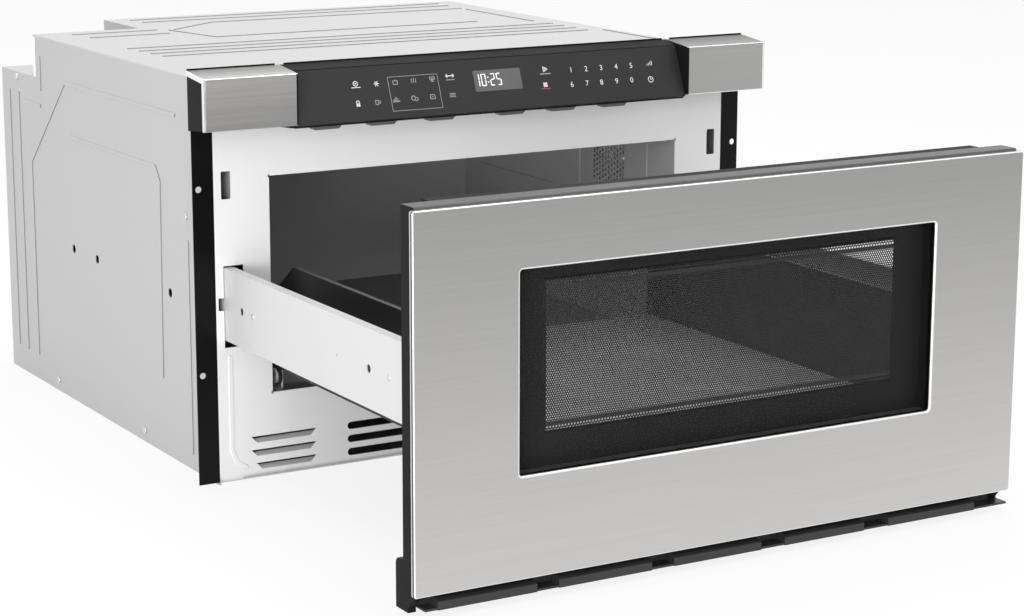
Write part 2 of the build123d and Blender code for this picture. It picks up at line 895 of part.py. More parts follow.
def high_voltage_capacitor():
    y = transformer_y
    top = base_steel + capacitor_height
    can = extrude(SlotOverall(capacitor_width, capacitor_thickness), capacitor_height)
    can = Pos(capacitor_x, y, base_steel) * can
    for x in (capacitor_x - terminal_spread / 2, capacitor_x + terminal_spread / 2):
        can += rod_z(terminal_radius, x, y, (top, top + 2 * terminal_radius))
        tab = (x - tab_blade / 2, x + tab_blade / 2)
        can += block(tab, (y - base_steel / 2, y + base_steel / 2), (top, top + terminal_height))
    half_width = capacitor_width / 2 + strap_steel
    half_thickness = capacitor_thickness / 2 + strap_steel
    foot = capacitor_x - half_width - strap_foot
    strap_z = (base_steel + strap_height, base_steel + strap_height + strap_width)
    strap_x = (capacitor_x - half_width, capacitor_x + half_width)
    strap = block(strap_x, (y - half_thickness, y + half_thickness), strap_z)
    strap = fillet(strap.edges().filter_by(Axis.Z), capacitor_thickness / 2)
    foot_y = (y - strap_foot / 2, y + strap_foot / 2)
    floor = block((foot, foot + strap_foot), foot_y, (base_steel, base_steel + strap_steel))
    post_x = (strap_x[0] - strap_steel, strap_x[0] + strap_steel / 2)
    post = block(post_x, foot_y, (base_steel, strap_z[1]))
    return can + strap + floor + post


def noise_filter_board():
    x = -inner_side + base_steel + board_stand
    low = base_flange + 2
    y = (cavity_back + board_from_cavity, back - board_from_back)
    board = block((x, x + board_thickness), y, (low, low + board_height))
    face = x + board_thickness
    coil_y = y[0] + board_post + filter_coil + 10
    coil_z = low + board_height * 0.57
    coil = rod_x(filter_coil, (face, face + filter_part), coil_y, coil_z)
    coil -= rod_x(filter_coil * 0.4, (face + 4, face + filter_part + 1), coil_y, coil_z)
    box_y = coil_y + filter_coil + board_post
    box = block((face, face + filter_part), (box_y, box_y + 18), (coil_z - 15, coil_z + 10))
    posts = Part()
    for post_y in (y[0] + board_post, y[1] - 2 * board_post):
        post_z = (base_flange - 8, low + 10)
        posts += block((-inner_side + base_steel, x), (post_y, post_y + board_post), post_z)
    return board + coil + box + posts


# ---- cooling fan ----
def fan_housing():
    y = (cavity_back + liner_steel + fan_plate_margin, back - case_steel - fan_plate_margin)
    wall = housing_wall
    ring_far = fan_x + fan_ring_depth
    reach = fan_radius + wall
    plate = block((fan_x - wall, fan_x), y, (base_steel, fan_height + fan_radius + 12))
    ring = rod_x(reach + 1.5, (fan_x - wall, ring_far), fan_y, fan_height)
    housing = plate + ring - rod_x(fan_radius + 1.5, (fan_x - wall - 1, ring_far + 1), fan_y, fan_height)
    foot = block((fan_x, fan_x + fan_foot), y, (base_steel, base_steel + wall))
    spider_x = (ring_far - spider_thickness, ring_far)
    half = spider_width / 2
    spider = block(spider_x, (fan_y - reach, fan_y + reach), (fan_height - half, fan_height + half))
    spider += block(spider_x, (fan_y - half, fan_y + half), (fan_height - reach, fan_height + reach))
    hole = fan_nose_radius + 2
    return housing + foot + spider - rod_x(hole, (spider_x[0] - 1, spider_x[1] + 1), fan_y, fan_height)


def fan_motor():
    x = fan_x + fan_ring_depth
    body = rod_x(fan_motor_radius, (x, x + fan_motor_length), fan_y, fan_height)
    nose = rod_x(fan_nose_radius, (x - spider_thickness, x), fan_y, fan_height)
    seat = (x - spider_thickness - 1, x + fan_shaft_seat + 2)
    return body + nose - rod_x(stirrer_shaft + running_fit, seat, fan_y, fan_height)


def cooling_fan():
    near = fan_x + fan_running_gap
    fan = rod_x(stirrer_shaft, (near, fan_x + fan_ring_depth + fan_shaft_seat), fan_y, fan_height)
    fan += rod_x(fan_hub_radius, (near, near + fan_hub_length), fan_y, fan_height)
    blade_length = fan_radius - fan_hub_radius
    blade_middle = fan_radius - blade_length / 2 - 2
    blade = Rot(0, 0, fan_twist) * Box(fan_blade_wall, fan_blade_width, blade_length)
    for n in range(blade_count):
        turn = Rot(360 * n / blade_count, 0, 0)
        fan += Pos(near + fan_hub_length / 2, fan_y, fan_height) * turn * Pos(0, 0, blade_middle) * blade
    return fan


# ---- control bar ----
# A plate behind the tilted panel: width, height, depths behind its face, and its centre.
def panel_block(width, height, depths, centre=(0, 0)):
    return panel_plane * Pos(centre[0], centre[1], -middle(depths)) * Box(width, height, length(depths))


def behind_panel(point, depth):
    return (point[0] - panel_normal[0] * depth, point[1] - panel_normal[1] * depth)


def control_glass():
    glass = panel_block(panel_width - 2 * contact_gap, panel_run, (0, glass_thickness))
    return fillet(glass.edges().filter_by(Axis.X).sort_by(Axis.Y)[0:1], 0.6)


def control_housing():
    low = behind_panel(panel_low, glass_thickness)
    high = behind_panel(panel_top, glass_thickness)
    top_lip = (panel_top[0] - 0.2, panel_top[1] + 0.5)
    floor_front = low[1] - panel_shelf
    profile = [(front, bar_back_top), top_lip, (high[0], high[1] + 0.2), high, low,
               (low[0], floor_front), (front, bar_back_bottom - panel_sag)]
    solid = prism_x(profile, (-panel_side, panel_side))
    room_low = behind_panel(panel_low, glass_thickness + 3)
    room_high = behind_panel(panel_top, glass_thickness + 3)
    wall = housing_wall
    room = [(front - wall, bar_back_top - wall - panel_shelf), (room_high[0], room_high[1] - wall),
            (room_low[0], room_low[1] + wall), (front - wall, bar_back_bottom + wall)]
    housing = solid - prism_x(room, (-panel_side + wall, panel_side - wall))
    housing -= panel_block(panel_width - 8, panel_run - 12, (glass_thickness - 1, glass_thickness + 6))
    tab_z = (floor_front - tab_height + 1, floor_front + 2.5)
    for centre in tab_centres:
        left = centre - tab_width / 2
        right = centre + tab_width / 2
        tab = [(left, tab_z[1]), (left + tab_slant, tab_z[0]), (right - tab_slant, tab_z[0]),
               (right, tab_z[1])]
        housing += prism_y(tab, (low[0] + 1, low[0] + 1 + tab_depth))
    return housing


def display_module():
    size = (display_size[0] + 4, display_size[1] + 4)
    depths = (glass_thickness + contact_gap, glass_thickness + board_depth)
    module = panel_block(size[0], size[1], depths, display_centre)
    return fillet(module.edges().filter_by(Axis.X), 0.5)


def control_board():
    depth = glass_thickness + board_depth
    board = panel_block(panel_width - 12, panel_run - 16, (depth, depth + board_thickness))
    for x in control_chips:
        board += panel_block(14, 10, (depth + board_thickness, depth + board_thickness + 3.4), (x, 2))
    post_x = panel_side - 15
    for x in (-post_x, post_x):
        board += panel_block(5, panel_run - 13.4, (depth - 0.5, depth + board_thickness), (x, 0))
    return board


# Heights of the bar's sloping underside and top at a depth.
def bar_low(y):
    return bar_bottom + (bar_back_bottom - bar_bottom) * (y - bar_front) / bar_projection


def bar_high(y):
    return bar_front_top + (bar_back_top - bar_front_top) * (y - bar_front) / bar_projection


def cap_profile(inset, rear=front):
    near = bar_front + inset
    return [(near, bar_low(near) + inset), (near, bar_high(near) - inset), (rear, bar_high(rear) - inset),
            (rear, bar_low(rear) + inset)]


# Steel over the front and top, folded a little way round the side and under the front.
def end_cap_skin():
    skin = prism_x(cap_profile(0), (panel_side + contact_gap, face_side))
    near, top, top_back, low_back = cap_profile(skin_steel, front + 1)
    lip = bar_front + skin_return
    below = bar_bottom - 20
    hollow = [near, top, top_back, (low_back[0], below), (lip, below), (lip, bar_low(lip) + skin_steel)]
    skin -= prism_x(hollow, (panel_side - 1, face_side - skin_steel))
    rear = front + 1
    window = [(lip, below), (lip, bar_high(lip) - skin_return), (rear, bar_high(rear) - skin_return),
              (rear, below)]
    return skin - prism_x(window, (face_side - 2, face_side + 1))


def end_cap_body():
    x = (panel_side + contact_gap, face_side - skin_steel)
    body = prism_x(cap_profile(skin_steel), x)
    inset = skin_steel + housing_wall
    room = prism_x(cap_profile(inset, front + 1), (x[0] + housing_wall, x[1] - housing_wall))
    return body - room


def bar_seals():
    z = (bar_back_top + seal_rise - seal_height, bar_back_top + seal_rise)
    y = (front, front + seal_thickness)
    centre = block((-panel_side + seal_gap / 2, panel_side - seal_gap / 2), y, z)
    outer = block((panel_side + seal_gap / 2, face_side - 1), y, z)
    return centre + both_sides(outer)


# ---- slides, from the case out: outer member, middle member, inner member, side rail ----
def channel(web, lip, half_height, y):
    z = (rail_middle - half_height, rail_middle + half_height)
    section = block((web, web + slide_steel), y, z)
    flange = block((web, lip), y, (z[0], z[0] + slide_steel))
    section += flange + block((web, lip), y, (z[1] - slide_steel, z[1]))
    return section


def slide_outer():
    y = (slide_front, slide_front + slide_length)
    member = channel(outer_web, rail_web - slide_steel - 2 * slide_clearance, outer_half, y)
    foot_z = rail_middle + slide_foot_rise
    steel = slide_foot_steel
    for foot_y in (slide_front + slide_foot_front, slide_front + slide_length - slide_foot_back):
        span = (foot_y - slide_foot_width / 2, foot_y + slide_foot_width / 2)
        member += block((liner_side, outer_web), span, (foot_z, foot_z + steel))
        member += block((liner_side, liner_side + steel), span, (foot_z, foot_z + 22))
        member += block((outer_web - steel, outer_web), span, (foot_z - 14, foot_z + steel))
    return member


def slide_middle():
    start = slide_front - travel / 2
    lip = rail_web - slide_steel - slide_clearance
    return channel(middle_web, lip, middle_half, (start, start + slide_length))


def slide_inner():
    start = slide_front - travel
    y = (start, start + slide_length)
    z = (rail_middle - slide_half_height, rail_middle + slide_half_height)
    member = block((rail_web - slide_steel, rail_web), y, z)
    member += block((inner_lip, rail_web), y, (z[0], z[0] + slide_steel))
    return member + block((inner_lip, rail_web), y, (z[1] - slide_steel, z[1]))


def side_rail():
    y = (core_back, rail_back)
    rail = block((rail_web, rail_outer), y, (rail_bottom, rail_top))
    rail += block((rail_inner, rail_outer), y, (rail_bottom, rail_bottom + rail_steel))
    rail += block((rail_inner, rail_outer), y, (rail_top - rail_steel, rail_top))
    rail += block((rail_inner, rail_outer), (core_back, core_back + rail_steel), (rail_bottom, rail_top))
    for place in rail_hole_places:
        rail -= rod_x(rail_hole_radius, (rail_web - 1, rail_outer + 1), front - place, rail_middle)
    return rail


def rail_rivets():
    rivets = Part()
    for place in rivet_places:
        rivets += rod_x(rivet_radius, (rail_outer, rail_outer + rivet_height), front - place, rail_middle)
    return both_sides(rivets)


# ---- rack and pinion ----
def involute(angle):
    return math.tan(angle) - angle


# Points of the pinion's outline, each flank an involute between root and tip.
def pinion_points():
    pressure = math.radians(pressure_angle)
    base = pitch_radius * math.cos(pressure)
    root = pitch_radius - gear_root
    tip = pitch_radius + gear_module
    half_tooth = math.pi / (2 * pinion_teeth) - gear_backlash / pitch_radius
    flank = []
    for step in range(flank_steps + 1):
        radius = base + (tip - base) * step / flank_steps
        roll = math.acos(min(1.0, base / radius))
        flank.append((radius, half_tooth + involute(pressure) - involute(roll)))
    flank.insert(0, (root, flank[0][1]))
    points = []
    for tooth in range(pinion_teeth):
        centre = 2 * math.pi * tooth / pinion_teeth
        points += [(radius, centre - angle) for radius, angle in flank]
        points += [(radius, centre + angle) for radius, angle in reversed(flank)]
    return [(pinion_y + radius * math.cos(a), pinion_z + radius * math.sin(a)) for radius, a in points]


def drive_pinion():
    gear = prism_x(pinion_points(), (gear_inner, gear_outer))
    return gear + rod_x(pinion_shaft_radius, (motor_face - pinion_seat, gear_inner), pinion_y, pinion_z)


def rack_points():
    pitch = math.pi * gear_module
    slope = math.tan(math.radians(pressure_angle))
    addendum = 0.9 * gear_module
    tip = rack_pitch_z + addendum
    root = rack_pitch_z - gear_root
    half = pitch / 4 - gear_backlash
    wide = half + gear_root * slope
    narrow = half - addendum * slope
    behind = math.ceil(pitch_radius / pitch)
    count = math.ceil(travel / pitch) + 2 * behind
    first = pinion_y + (behind + 0.5) * pitch
    seat = rail_bottom + rail_steel
    points = [(first + pitch / 2, seat), (first + pitch / 2, root)]
    for tooth in range(count):
        centre = first - tooth * pitch
        points += [(centre + wide, root), (centre + narrow, tip)]
        points += [(centre - narrow, tip), (centre - wide, root)]
    last = first - (count - 0.5) * pitch
    return points + [(last, root), (last, seat)]


def drive_rack():
    return prism_x(rack_points(), (gear_inner, gear_outer))


def drive_motor():
    body = rod_x(motor_radius, (motor_face - motor_thickness, motor_face), pinion_y, pinion_z)
    bore = (motor_face - pinion_seat - 2, motor_face + 1)
    return body - rod_x(pinion_shaft_radius + running_fit, bore, pinion_y, pinion_z)


def motor_bracket():
    steel = slide_foot_steel
    half = motor_radius + 4
    y = (pinion_y - half, pinion_y + half)
    z = (pinion_z - bracket_half, pinion_z + bracket_half)
    bracket = block((motor_face, motor_face + steel), y, z)
    for arm in (y[0], y[1] - steel):
        bracket += block((liner_side, motor_face), (arm, arm + steel), z)
    ear = block((liner_side, liner_side + steel), (y[1], y[1] + 12), z)
    hole = pinion_shaft_radius + 5.5
    return bracket + ear - rod_x(hole, (motor_face - 1, motor_face + 3), pinion_y, pinion_z)


# ---- pan rollers ----
def roller_span():
    outer = pan_side - roller_inside_pan
    return (outer - roller_width, outer)


def pan_roller():
    x = roller_span()
    wheel = rod_x(roller_radius, x, roller_y, roller_z)
    wheel = chamfer(wheel.edges().filter_by(GeomType.CIRCLE), roller_chamfer)
    return wheel - rod_x(roller_axle_radius + running_fit, (x[0] - 1, x[1] + 1), roller_y, roller_z)


def roller_bracket():
    x = roller_span()
    ear_x = (x[0] - contact_gap - roller_ear, x[0] - contact_gap)
    far = x[1] + 0.5
    y = (roller_y - roller_foot / 2, roller_y + roller_foot / 2)
    floor = block((ear_x[0], far), y, (opening_bottom, opening_bottom + roller_foot_steel))
    ear = block(ear_x, y, (opening_bottom, roller_z + 2.5 * roller_axle_radius))
    axle = rod_x(roller_axle_radius, (ear_x[0], far), roller_y, roller_z)
    return floor + ear + axle


# ---- interlocks ----
def latch_hooks():
    y = core_back
    tip = y + hook_reach
    shape = [(y, hook_low), (y, hook_high), (tip - hook_nose + 1, hook_high), (tip, hook_high - hook_nose),
             (tip, hook_low + 1), (tip - hook_barb, hook_low + 1), (tip - hook_barb, hook_low + hook_nose),
             (y + 10, hook_low + hook_nose), (y + 6, hook_low)]
    hook = prism_x(shape, (hook_x - hook_thickness / 2, hook_x + hook_thickness / 2))
    plate_half = hook_thickness / 2 + 3
    plate = block((hook_x - plate_half, hook_x + plate_half), (core_back, core_back + hook_plate_steel),
                  (hook_low - 6, hook_high + 6))
    return both_sides(hook + plate)


def interlock_switches():
    near = switch_front
    far = near + switch_length
    z = (hook_low, hook_high)
    tall = (z[0] - 8, z[1] + 8)
    steel = slide_foot_steel
    switch_x = (hook_x - switch_width / 2, hook_x + switch_width / 2)
    switch = block(switch_x, (near, far), z)
    switch -= rod_y(plunger_radius + running_fit, hook_x, (near - 1, near + 2.5 * plunger_stroke), middle(z))
    arm_x = (switch_x[0] - steel, switch_x[0])
    bracket = block(arm_x, (plate_back, far), tall)
    foot = block((arm_x[0] - switch_foot, arm_x[0]), (plate_back, plate_back + steel), tall)
    return both_sides(switch + bracket + foot)


def switch_plunger():
    y = (switch_front - plunger_stroke, switch_front + 1.5 * plunger_stroke)
    return rod_y(plunger_radius, hook_x, y, (hook_low + hook_high) / 2)


# ---- cavity lamp ----
def cavity_lamp():
    y = (front + vent_setback - 6, front + vent_setback + vent_columns * vent_pitch + 3)
    z = (vent_bottom - 5, vent_bottom + (vent_rows + 0.5) * vent_pitch + 3)
    x = (liner_side, liner_side + shade_depth)
    shade = block(x, y, z)
    shade -= block((x[0] - 1, x[1] - shade_wall), (y[0] + shade_wall, y[1] - shade_wall),
                   (z[0] + shade_wall, z[1] - shade_wall))
    rim = y[0] + socket_length
    socket = rod_y(socket_radius, middle(x), (y[0], rim), middle(z))
    bulb = Pos(middle(x), rim + bulb_radius, middle(z)) * Sphere(bulb_radius)
    neck = rod_y(socket_radius - 2, middle(x), (rim - 2, rim + 8), middle(z))
    return shade + socket + neck + bulb


# ---- door ----
def door_skin():
    fold = (door_face, door_face + skin_fold)
    skin = block((-face_side, face_side), fold, (door_bottom, door_top))
    skin = fillet(skin.edges().filter_by(Axis.Y), skin_bend)
    skin = fillet(skin.faces().sort_by(Axis.Y)[0].edges(), skin_bend * 0.6)
    inner = block((-face_side + skin_steel, face_side - skin_steel), (door_face + skin_steel, fold[1] + 1),
                  (door_bottom + skin_steel, door_top - skin_steel))
    skin -= fillet(inner.edges().filter_by(Axis.Y), skin_bend - skin_steel)
    skin += window_ring(door_face + skin_steel, door_face + window_lip, skin_steel)
    return skin - pane(window_side, window_bottom, window_top, (-1, skin_fold + 1))


def window_ring(near, far, wall):
    half = window_side + wall
    outer = block((-half, half), (near, far), (window_bottom - wall, window_top + wall))
    return outer - block((-window_side, window_side), (near - 1, far + 1), (window_bottom, window_top))


# The glass panes and the screen share one seat round the window.
def pane(half_width, low, high, depths):
    return block((-half_width, half_width), (door_face + depths[0], door_face + depths[1]), (low, high))


def pane_seat(grow):
    margin = panel_margin + grow
    return (window_side + margin, window_bottom - margin, window_top + margin)


def door_glass():
    return pane(*pane_seat(-panel_clearance), (window_lip, glass_far))


# The perforated field is pressed forward out of the sheet.
def mesh_screen():
    half = mesh_width / 2
    near = mesh_depth - mesh_press
    steel = mesh_steel
    sheet = pane(*pane_seat(-panel_clearance), (mesh_depth, screen_far))
    sheet += pane(half + steel, mesh_bottom - steel, mesh_top + steel, (near, mesh_depth))
    return sheet - pane(half, mesh_bottom, mesh_top, (near + steel, screen_far + 1))


def inner_glass():
    return pane(*pane_seat(-panel_clearance), (screen_far + pane_gap, inner_glass_far))


def door_frame():
    inner = face_side - skin_steel
    narrow = face_side - frame_inset
    top = door_top + core_rise
    low = door_bottom + skin_steel
    near = door_face + skin_steel
    fold_back = door_face + skin_fold
    rim_top = door_top - skin_steel
    rim = block((-inner, inner), (near, fold_back), (low, rim_top))
    rim = fillet(rim.edges().filter_by(Axis.Y), skin_bend - skin_steel)
    body = block((-narrow, narrow), (fold_back, frame_back), (low, top))
    body = fillet(body.edges().filter_by(Axis.Y).group_by(Axis.Z)[-1], frame_corner)
    body = fillet(body.edges().filter_by(Axis.X).group_by(Axis.Z)[-1].sort_by(Axis.Y)[0], frame_nose)
    frame = rim + body
    toe = door_face + ear_setback
    tail = [(frame_back - 1, ear_bottom), (frame_back - 1, ear_top), (core_back, ear_top),
            (core_back, ear_bottom)]
    heel_top = fold_back + skin_steel
    heel = [(heel_top, low + 1), (heel_top, low), (toe, ear_bottom + ear_toe), (toe, ear_bottom),
            (frame_back, ear_bottom), (frame_back, low + 1)]
    ear_x = (narrow - ear_width, narrow)
    ear = bar_x(rounded(outline(tail), (core_back, ear_top), ear_round), ear_x) + prism_x(heel, ear_x)
    frame += both_sides(ear)
    lip = skin_steel + lip_clearance
    frame -= pane(window_side + lip, window_bottom - lip, window_top + lip, (skin_steel - 1, glass_far))
    seat = pane_seat(0)
    frame -= pane(*seat, (window_lip, glass_far)) + frame_pocket(near, rim_top)
    frame -= pane(window_side, window_bottom, window_top, (skin_steel - 1, frame_depth + 1))
    return frame - pane(*seat, (mesh_depth, frame_depth + 1))


# The hollow round the window, open at the back, where the core closes it.
def frame_pocket(near, top):
    depths = (near + frame_wall, frame_back + 1)
    x = core_side - frame_wall
    outer = block((-x, x), depths, (core_bottom + frame_wall, top - frame_wall))
    half, low, high = pane_seat(frame_wall)
    return outer - block((-half, half), (depths[0] - 1, depths[1] + 1), (low, high))


def choke_cover():
    top = door_top + core_rise
    cover = block((-core_side, core_side), (frame_back, core_back), (core_bottom, top))
    cover = fillet(cover.edges().filter_by(Axis.Y), frame_corner)
    half = window_side - core_window_inset
    view = (window_bottom + core_window_inset, window_top - core_window_inset)
    cover -= block((-half, half), (frame_back - 1, core_back + 1), view)
    near = core_back - choke_depth
    x = core_side - choke_margin
    groove = block((-x, x), (near, core_back + 1), (core_bottom + choke_margin, top - choke_margin))
    land = half + choke_land
    groove -= block((-land, land), (near - 1, core_back + 2), (view[0] - choke_land, view[1] + choke_land))
    hook_pad = block((hook_x - 8, rail_outer + 4), (near - 1, core_back + 2), (core_bottom, top))
    groove -= both_sides(hook_pad)
    half_press, press_low, press_high = pane_seat(-1)
    press = pane(half_press, press_low, press_high, (inner_glass_far, frame_depth))
    press -= pane(half, view[0], view[1], (0, frame_depth + 1))
    return cover + press - groove


def bottom_trim():
    far = core_back
    inner = face_side - frame_inset - ear_width
    x = (-inner, inner)
    under_skin = door_bottom - trim_below_skin
    recess = door_face + trim_recess
    strip = block(x, (door_face + 2, far), (trim_bottom, trim_bottom + trim_floor))
    strip += block(x, (recess, recess + trim_wall), (trim_bottom, door_bottom))
    strip += block(x, (frame_back - 3, frame_back), (trim_bottom, door_bottom + skin_steel))
    bar = [(door_face + trim_gap, trim_bottom), (door_face + trim_gap, trim_bottom + trim_step),
           (door_face + skin_fold, under_skin), (recess, under_skin), (recess, trim_bottom)]
    for x in trim_bars:
        strip += prism_x(bar, x)
    return strip


# ---- basket ----
def drawer_basket():
    slant_start = basket_back - basket_slant
    profile = [(core_back, pan_bottom), (core_back, basket_top), (slant_start, basket_top),
               (basket_back, basket_top - basket_drop), (basket_back, pan_bottom)]
    wall = prism_x(profile, (basket_side - basket_wall, basket_side))
    high_edges = wall.edges().filter_by(Axis.X).group_by(Axis.Z)[-1]
    wall = fillet(high_edges.sort_by(Axis.Y)[-1], basket_corner)
    basket = both_sides(wall)
    basket += block((-pan_side, pan_side), (core_back, basket_back), (pan_bottom, pan_top))
    front_wall = (core_back, core_back + basket_wall)
    basket += block((-basket_side, basket_side), front_wall, (pan_bottom, basket_top))
    view = window_side - core_window_inset
    sill = window_bottom + core_window_inset
    basket -= block((-view, view), (front_wall[0] - 1, front_wall[1] + 1), (sill, basket_top + 1))
    lip = block((pan_side - pan_steel, pan_side), (core_back, basket_back), (pan_top, pan_top + pan_lip))
    return basket + both_sides(lip)


def glass_tray():
    half = basket_side - basket_wall - tray_gap
    near = core_back + basket_wall + tray_gap
    tray = block((-half, half), (near, basket_back - 4), (pan_top, pan_top + tray_thickness))
    return fillet(tray.edges().filter_by(Axis.Z), tray_corner)


# ---- screws ----
def case_screws():
    screws = []
    for y, z in side_screw_places():
        screws.append(screw(right_face, (y, z)))
        screws.append(screw(left_face, (-y, z)))
    for x, z in back_screw_places():
        screws.append(screw(back_face, (-x, z)))
    return Compound(children=screws)


pieces = {
    "outer_case": outer_case(),
    "base_pan": base_pan(),
    "back_panel": back_panel(),
    "recess_panel": recess_panel(),
    "cord_bush": cord_bush(),
    "front_plate": front_plate(),
    "mounting_flange_left": mirrored(mounting_flange()),
    "mounting_flange_right": mounting_flange(),
    "cavity_liner": cavity_liner(),
    "waveguide": waveguide(),
    "stirrer_cover": stirrer_cover(),
    "stirrer_motor": stirrer_motor(),
    "stirrer_fan": stirrer_fan(),
    "magnetron": magnetron(),
    "transformer_core": transformer_core(),
    "transformer_windings": transformer_windings(),
    "high_voltage_capacitor": high_voltage_capacitor(),
    "noise_filter_board": noise_filter_board(),
    "fan_housing": fan_housing(),
    "fan_motor": fan_motor(),
    "cooling_fan": cooling_fan(),
    "control_housing": control_housing(),
    "control_glass": control_glass(),
    "display_module": display_module(),
    "control_board": control_board(),
    "end_cap_bodies": both_sides(end_cap_body()),
    "end_cap_skin_left": mirrored(end_cap_skin()),
    "end_cap_skin_right": end_cap_skin(),
    "bar_seals": bar_seals(),
    "slide_outer_left": mirrored(slide_outer()),
    "slide_outer_right": slide_outer(),
    "slide_middle_left": mirrored(slide_middle()),
    "slide_middle_right": slide_middle(),
    "slide_inner_left": mirrored(slide_inner()),
    "slide_inner_right": slide_inner(),
    "side_rail_left": mirrored(side_rail()),
    "side_rail_right": side_rail(),
    "rail_rivets": rail_rivets(),
    "drive_rack": drive_rack(),
    "drive_pinion": drive_pinion(),
    "drive_motor": drive_motor(),
    "motor_bracket": motor_bracket(),
    "pan_roller_left": mirrored(pan_roller()),
    "pan_roller_right": pan_roller(),
    "roller_brackets": both_sides(roller_bracket()),
    "latch_hooks": latch_hooks(),
    "interlock_switches": interlock_switches(),
    "switch_plunger_left": mirrored(switch_plunger()),
    "switch_plunger_right": switch_plunger(),
    "cavity_lamp": cavity_lamp(),
    "door_skin": door_skin(),
    "door_glass": door_glass(),
    "mesh_screen": mesh_screen(),
    "inner_glass": inner_glass(),
    "door_frame": door_frame(),
    "choke_cover": choke_cover(),
    "bottom_trim": bottom_trim(),
    "drawer_basket": drawer_basket(),
    "glass_tray": glass_tray(),
    "case_screws": case_screws(),
}

os.makedirs("parts", exist_ok=True)
for name, shape in pieces.items():
    export_step(shape, f"parts/{name}.step")
print(len(pieces), "pieces written")
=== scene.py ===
import json
import math

import bmesh
import bpy
from mathutils import Matrix, Vector


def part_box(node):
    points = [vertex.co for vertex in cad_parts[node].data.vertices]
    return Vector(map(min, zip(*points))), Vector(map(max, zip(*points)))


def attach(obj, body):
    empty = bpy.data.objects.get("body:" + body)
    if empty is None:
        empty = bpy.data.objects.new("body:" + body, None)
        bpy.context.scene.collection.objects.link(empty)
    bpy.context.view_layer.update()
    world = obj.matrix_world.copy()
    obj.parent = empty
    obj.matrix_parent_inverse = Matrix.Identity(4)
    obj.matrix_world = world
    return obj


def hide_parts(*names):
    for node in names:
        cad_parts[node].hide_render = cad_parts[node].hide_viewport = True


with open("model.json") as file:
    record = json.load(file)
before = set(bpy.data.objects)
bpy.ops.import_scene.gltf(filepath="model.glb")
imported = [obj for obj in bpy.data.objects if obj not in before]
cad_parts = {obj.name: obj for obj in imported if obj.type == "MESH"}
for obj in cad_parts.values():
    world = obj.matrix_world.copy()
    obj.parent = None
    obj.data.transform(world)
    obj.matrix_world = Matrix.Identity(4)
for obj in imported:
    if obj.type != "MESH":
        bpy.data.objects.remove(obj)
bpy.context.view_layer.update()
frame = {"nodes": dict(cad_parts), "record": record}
nodes = frame["nodes"]
bodyOf = {node: body for body, members in frame["record"]["behaviour"]["bodies"].items() for node in members}
slotOf = {part["node"]: part["material_slot"] for part in frame["record"]["subparts"]}
mm = 0.001
# Points nearer than these are one point: the first on CAD's meshes and bent sheet, the finer on flat pieces
# and where faces are cut.
samePoint = 1e-6
finePoint = 1e-7
# Least share of a face's normal along an axis: to face that way, to lie square to it, and to be dead flat.
facing = 0.9
square = 0.99
deadFlat = 0.999


# Materials
def newMaterial(name):
    mat = bpy.data.materials.new(name)
    mat.use_nodes = True
    tree = mat.node_tree
    tree.nodes.clear()
    out = tree.nodes.new("ShaderNodeOutputMaterial")
    shader = tree.nodes.new("ShaderNodeBsdfPrincipled")
    tree.links.new(shader.outputs["BSDF"], out.inputs["Surface"])
    return mat, tree, shader


def addNode(tree, kind, inputs=None, **settings):
    node = tree.nodes.new("ShaderNode" + kind)
    for key, value in settings.items():
        setattr(node, key, value)
    for key, value in (inputs or {}).items():
        if isinstance(value, bpy.types.NodeSocket):
            tree.links.new(value, node.inputs[key])
        else:
            node.inputs[key].default_value = value
    return node


def calc(tree, operation, *values):
    return addNode(tree, "Math", dict(enumerate(values)), operation=operation).outputs[0]


def objectPoint(tree, scale=(1, 1, 1)):
    coord = addNode(tree, "TexCoord")
    return addNode(tree, "Mapping", {"Vector": coord.outputs["Object"], "Scale": scale}).outputs["Vector"]


def noise(tree, point, scale, detail=3, rough=0.5):
    made = addNode(tree, "TexNoise", {"Vector": point, "Scale": scale, "Detail": detail, "Roughness": rough})
    return made.outputs["Fac"]


def spread(tree, value, low, high, fromLow=0.3, fromHigh=0.7):
    made = addNode(tree, "MapRange", {"Value": value, "From Min": fromLow, "From Max": fromHigh,
                                      "To Min": low, "To Max": high})
    return made.outputs["Result"]


def shade(tree, value, dark, light):
    made = addNode(tree, "Mix", data_type="RGBA")
    tree.links.new(value, made.inputs["Factor"])
    for socket, colour in (("A", dark), ("B", light)):
        if isinstance(colour, bpy.types.NodeSocket):
            tree.links.new(colour, made.inputs[socket])
        else:
            made.inputs[socket].default_value = (*colour, 1)
    return made.outputs["Result"]


def around(colour, change):
    return [c * (1 - change) for c in colour], [min(1, c * (1 + change)) for c in colour]


def bump(tree, shader, value, height, strength=1.0):
    made = addNode(tree, "Bump", {"Height": value, "Distance": height, "Strength": strength})
    tree.links.new(made.outputs["Normal"], shader.inputs["Normal"])


def setAll(shader, values):
    for key, value in values.items():
        shader.inputs[key].default_value = value


# Widths over which the unshaded zones of a sheet with painted slope shade fade in.
blend = {"across": 2 * mm, "up": 1 * mm}


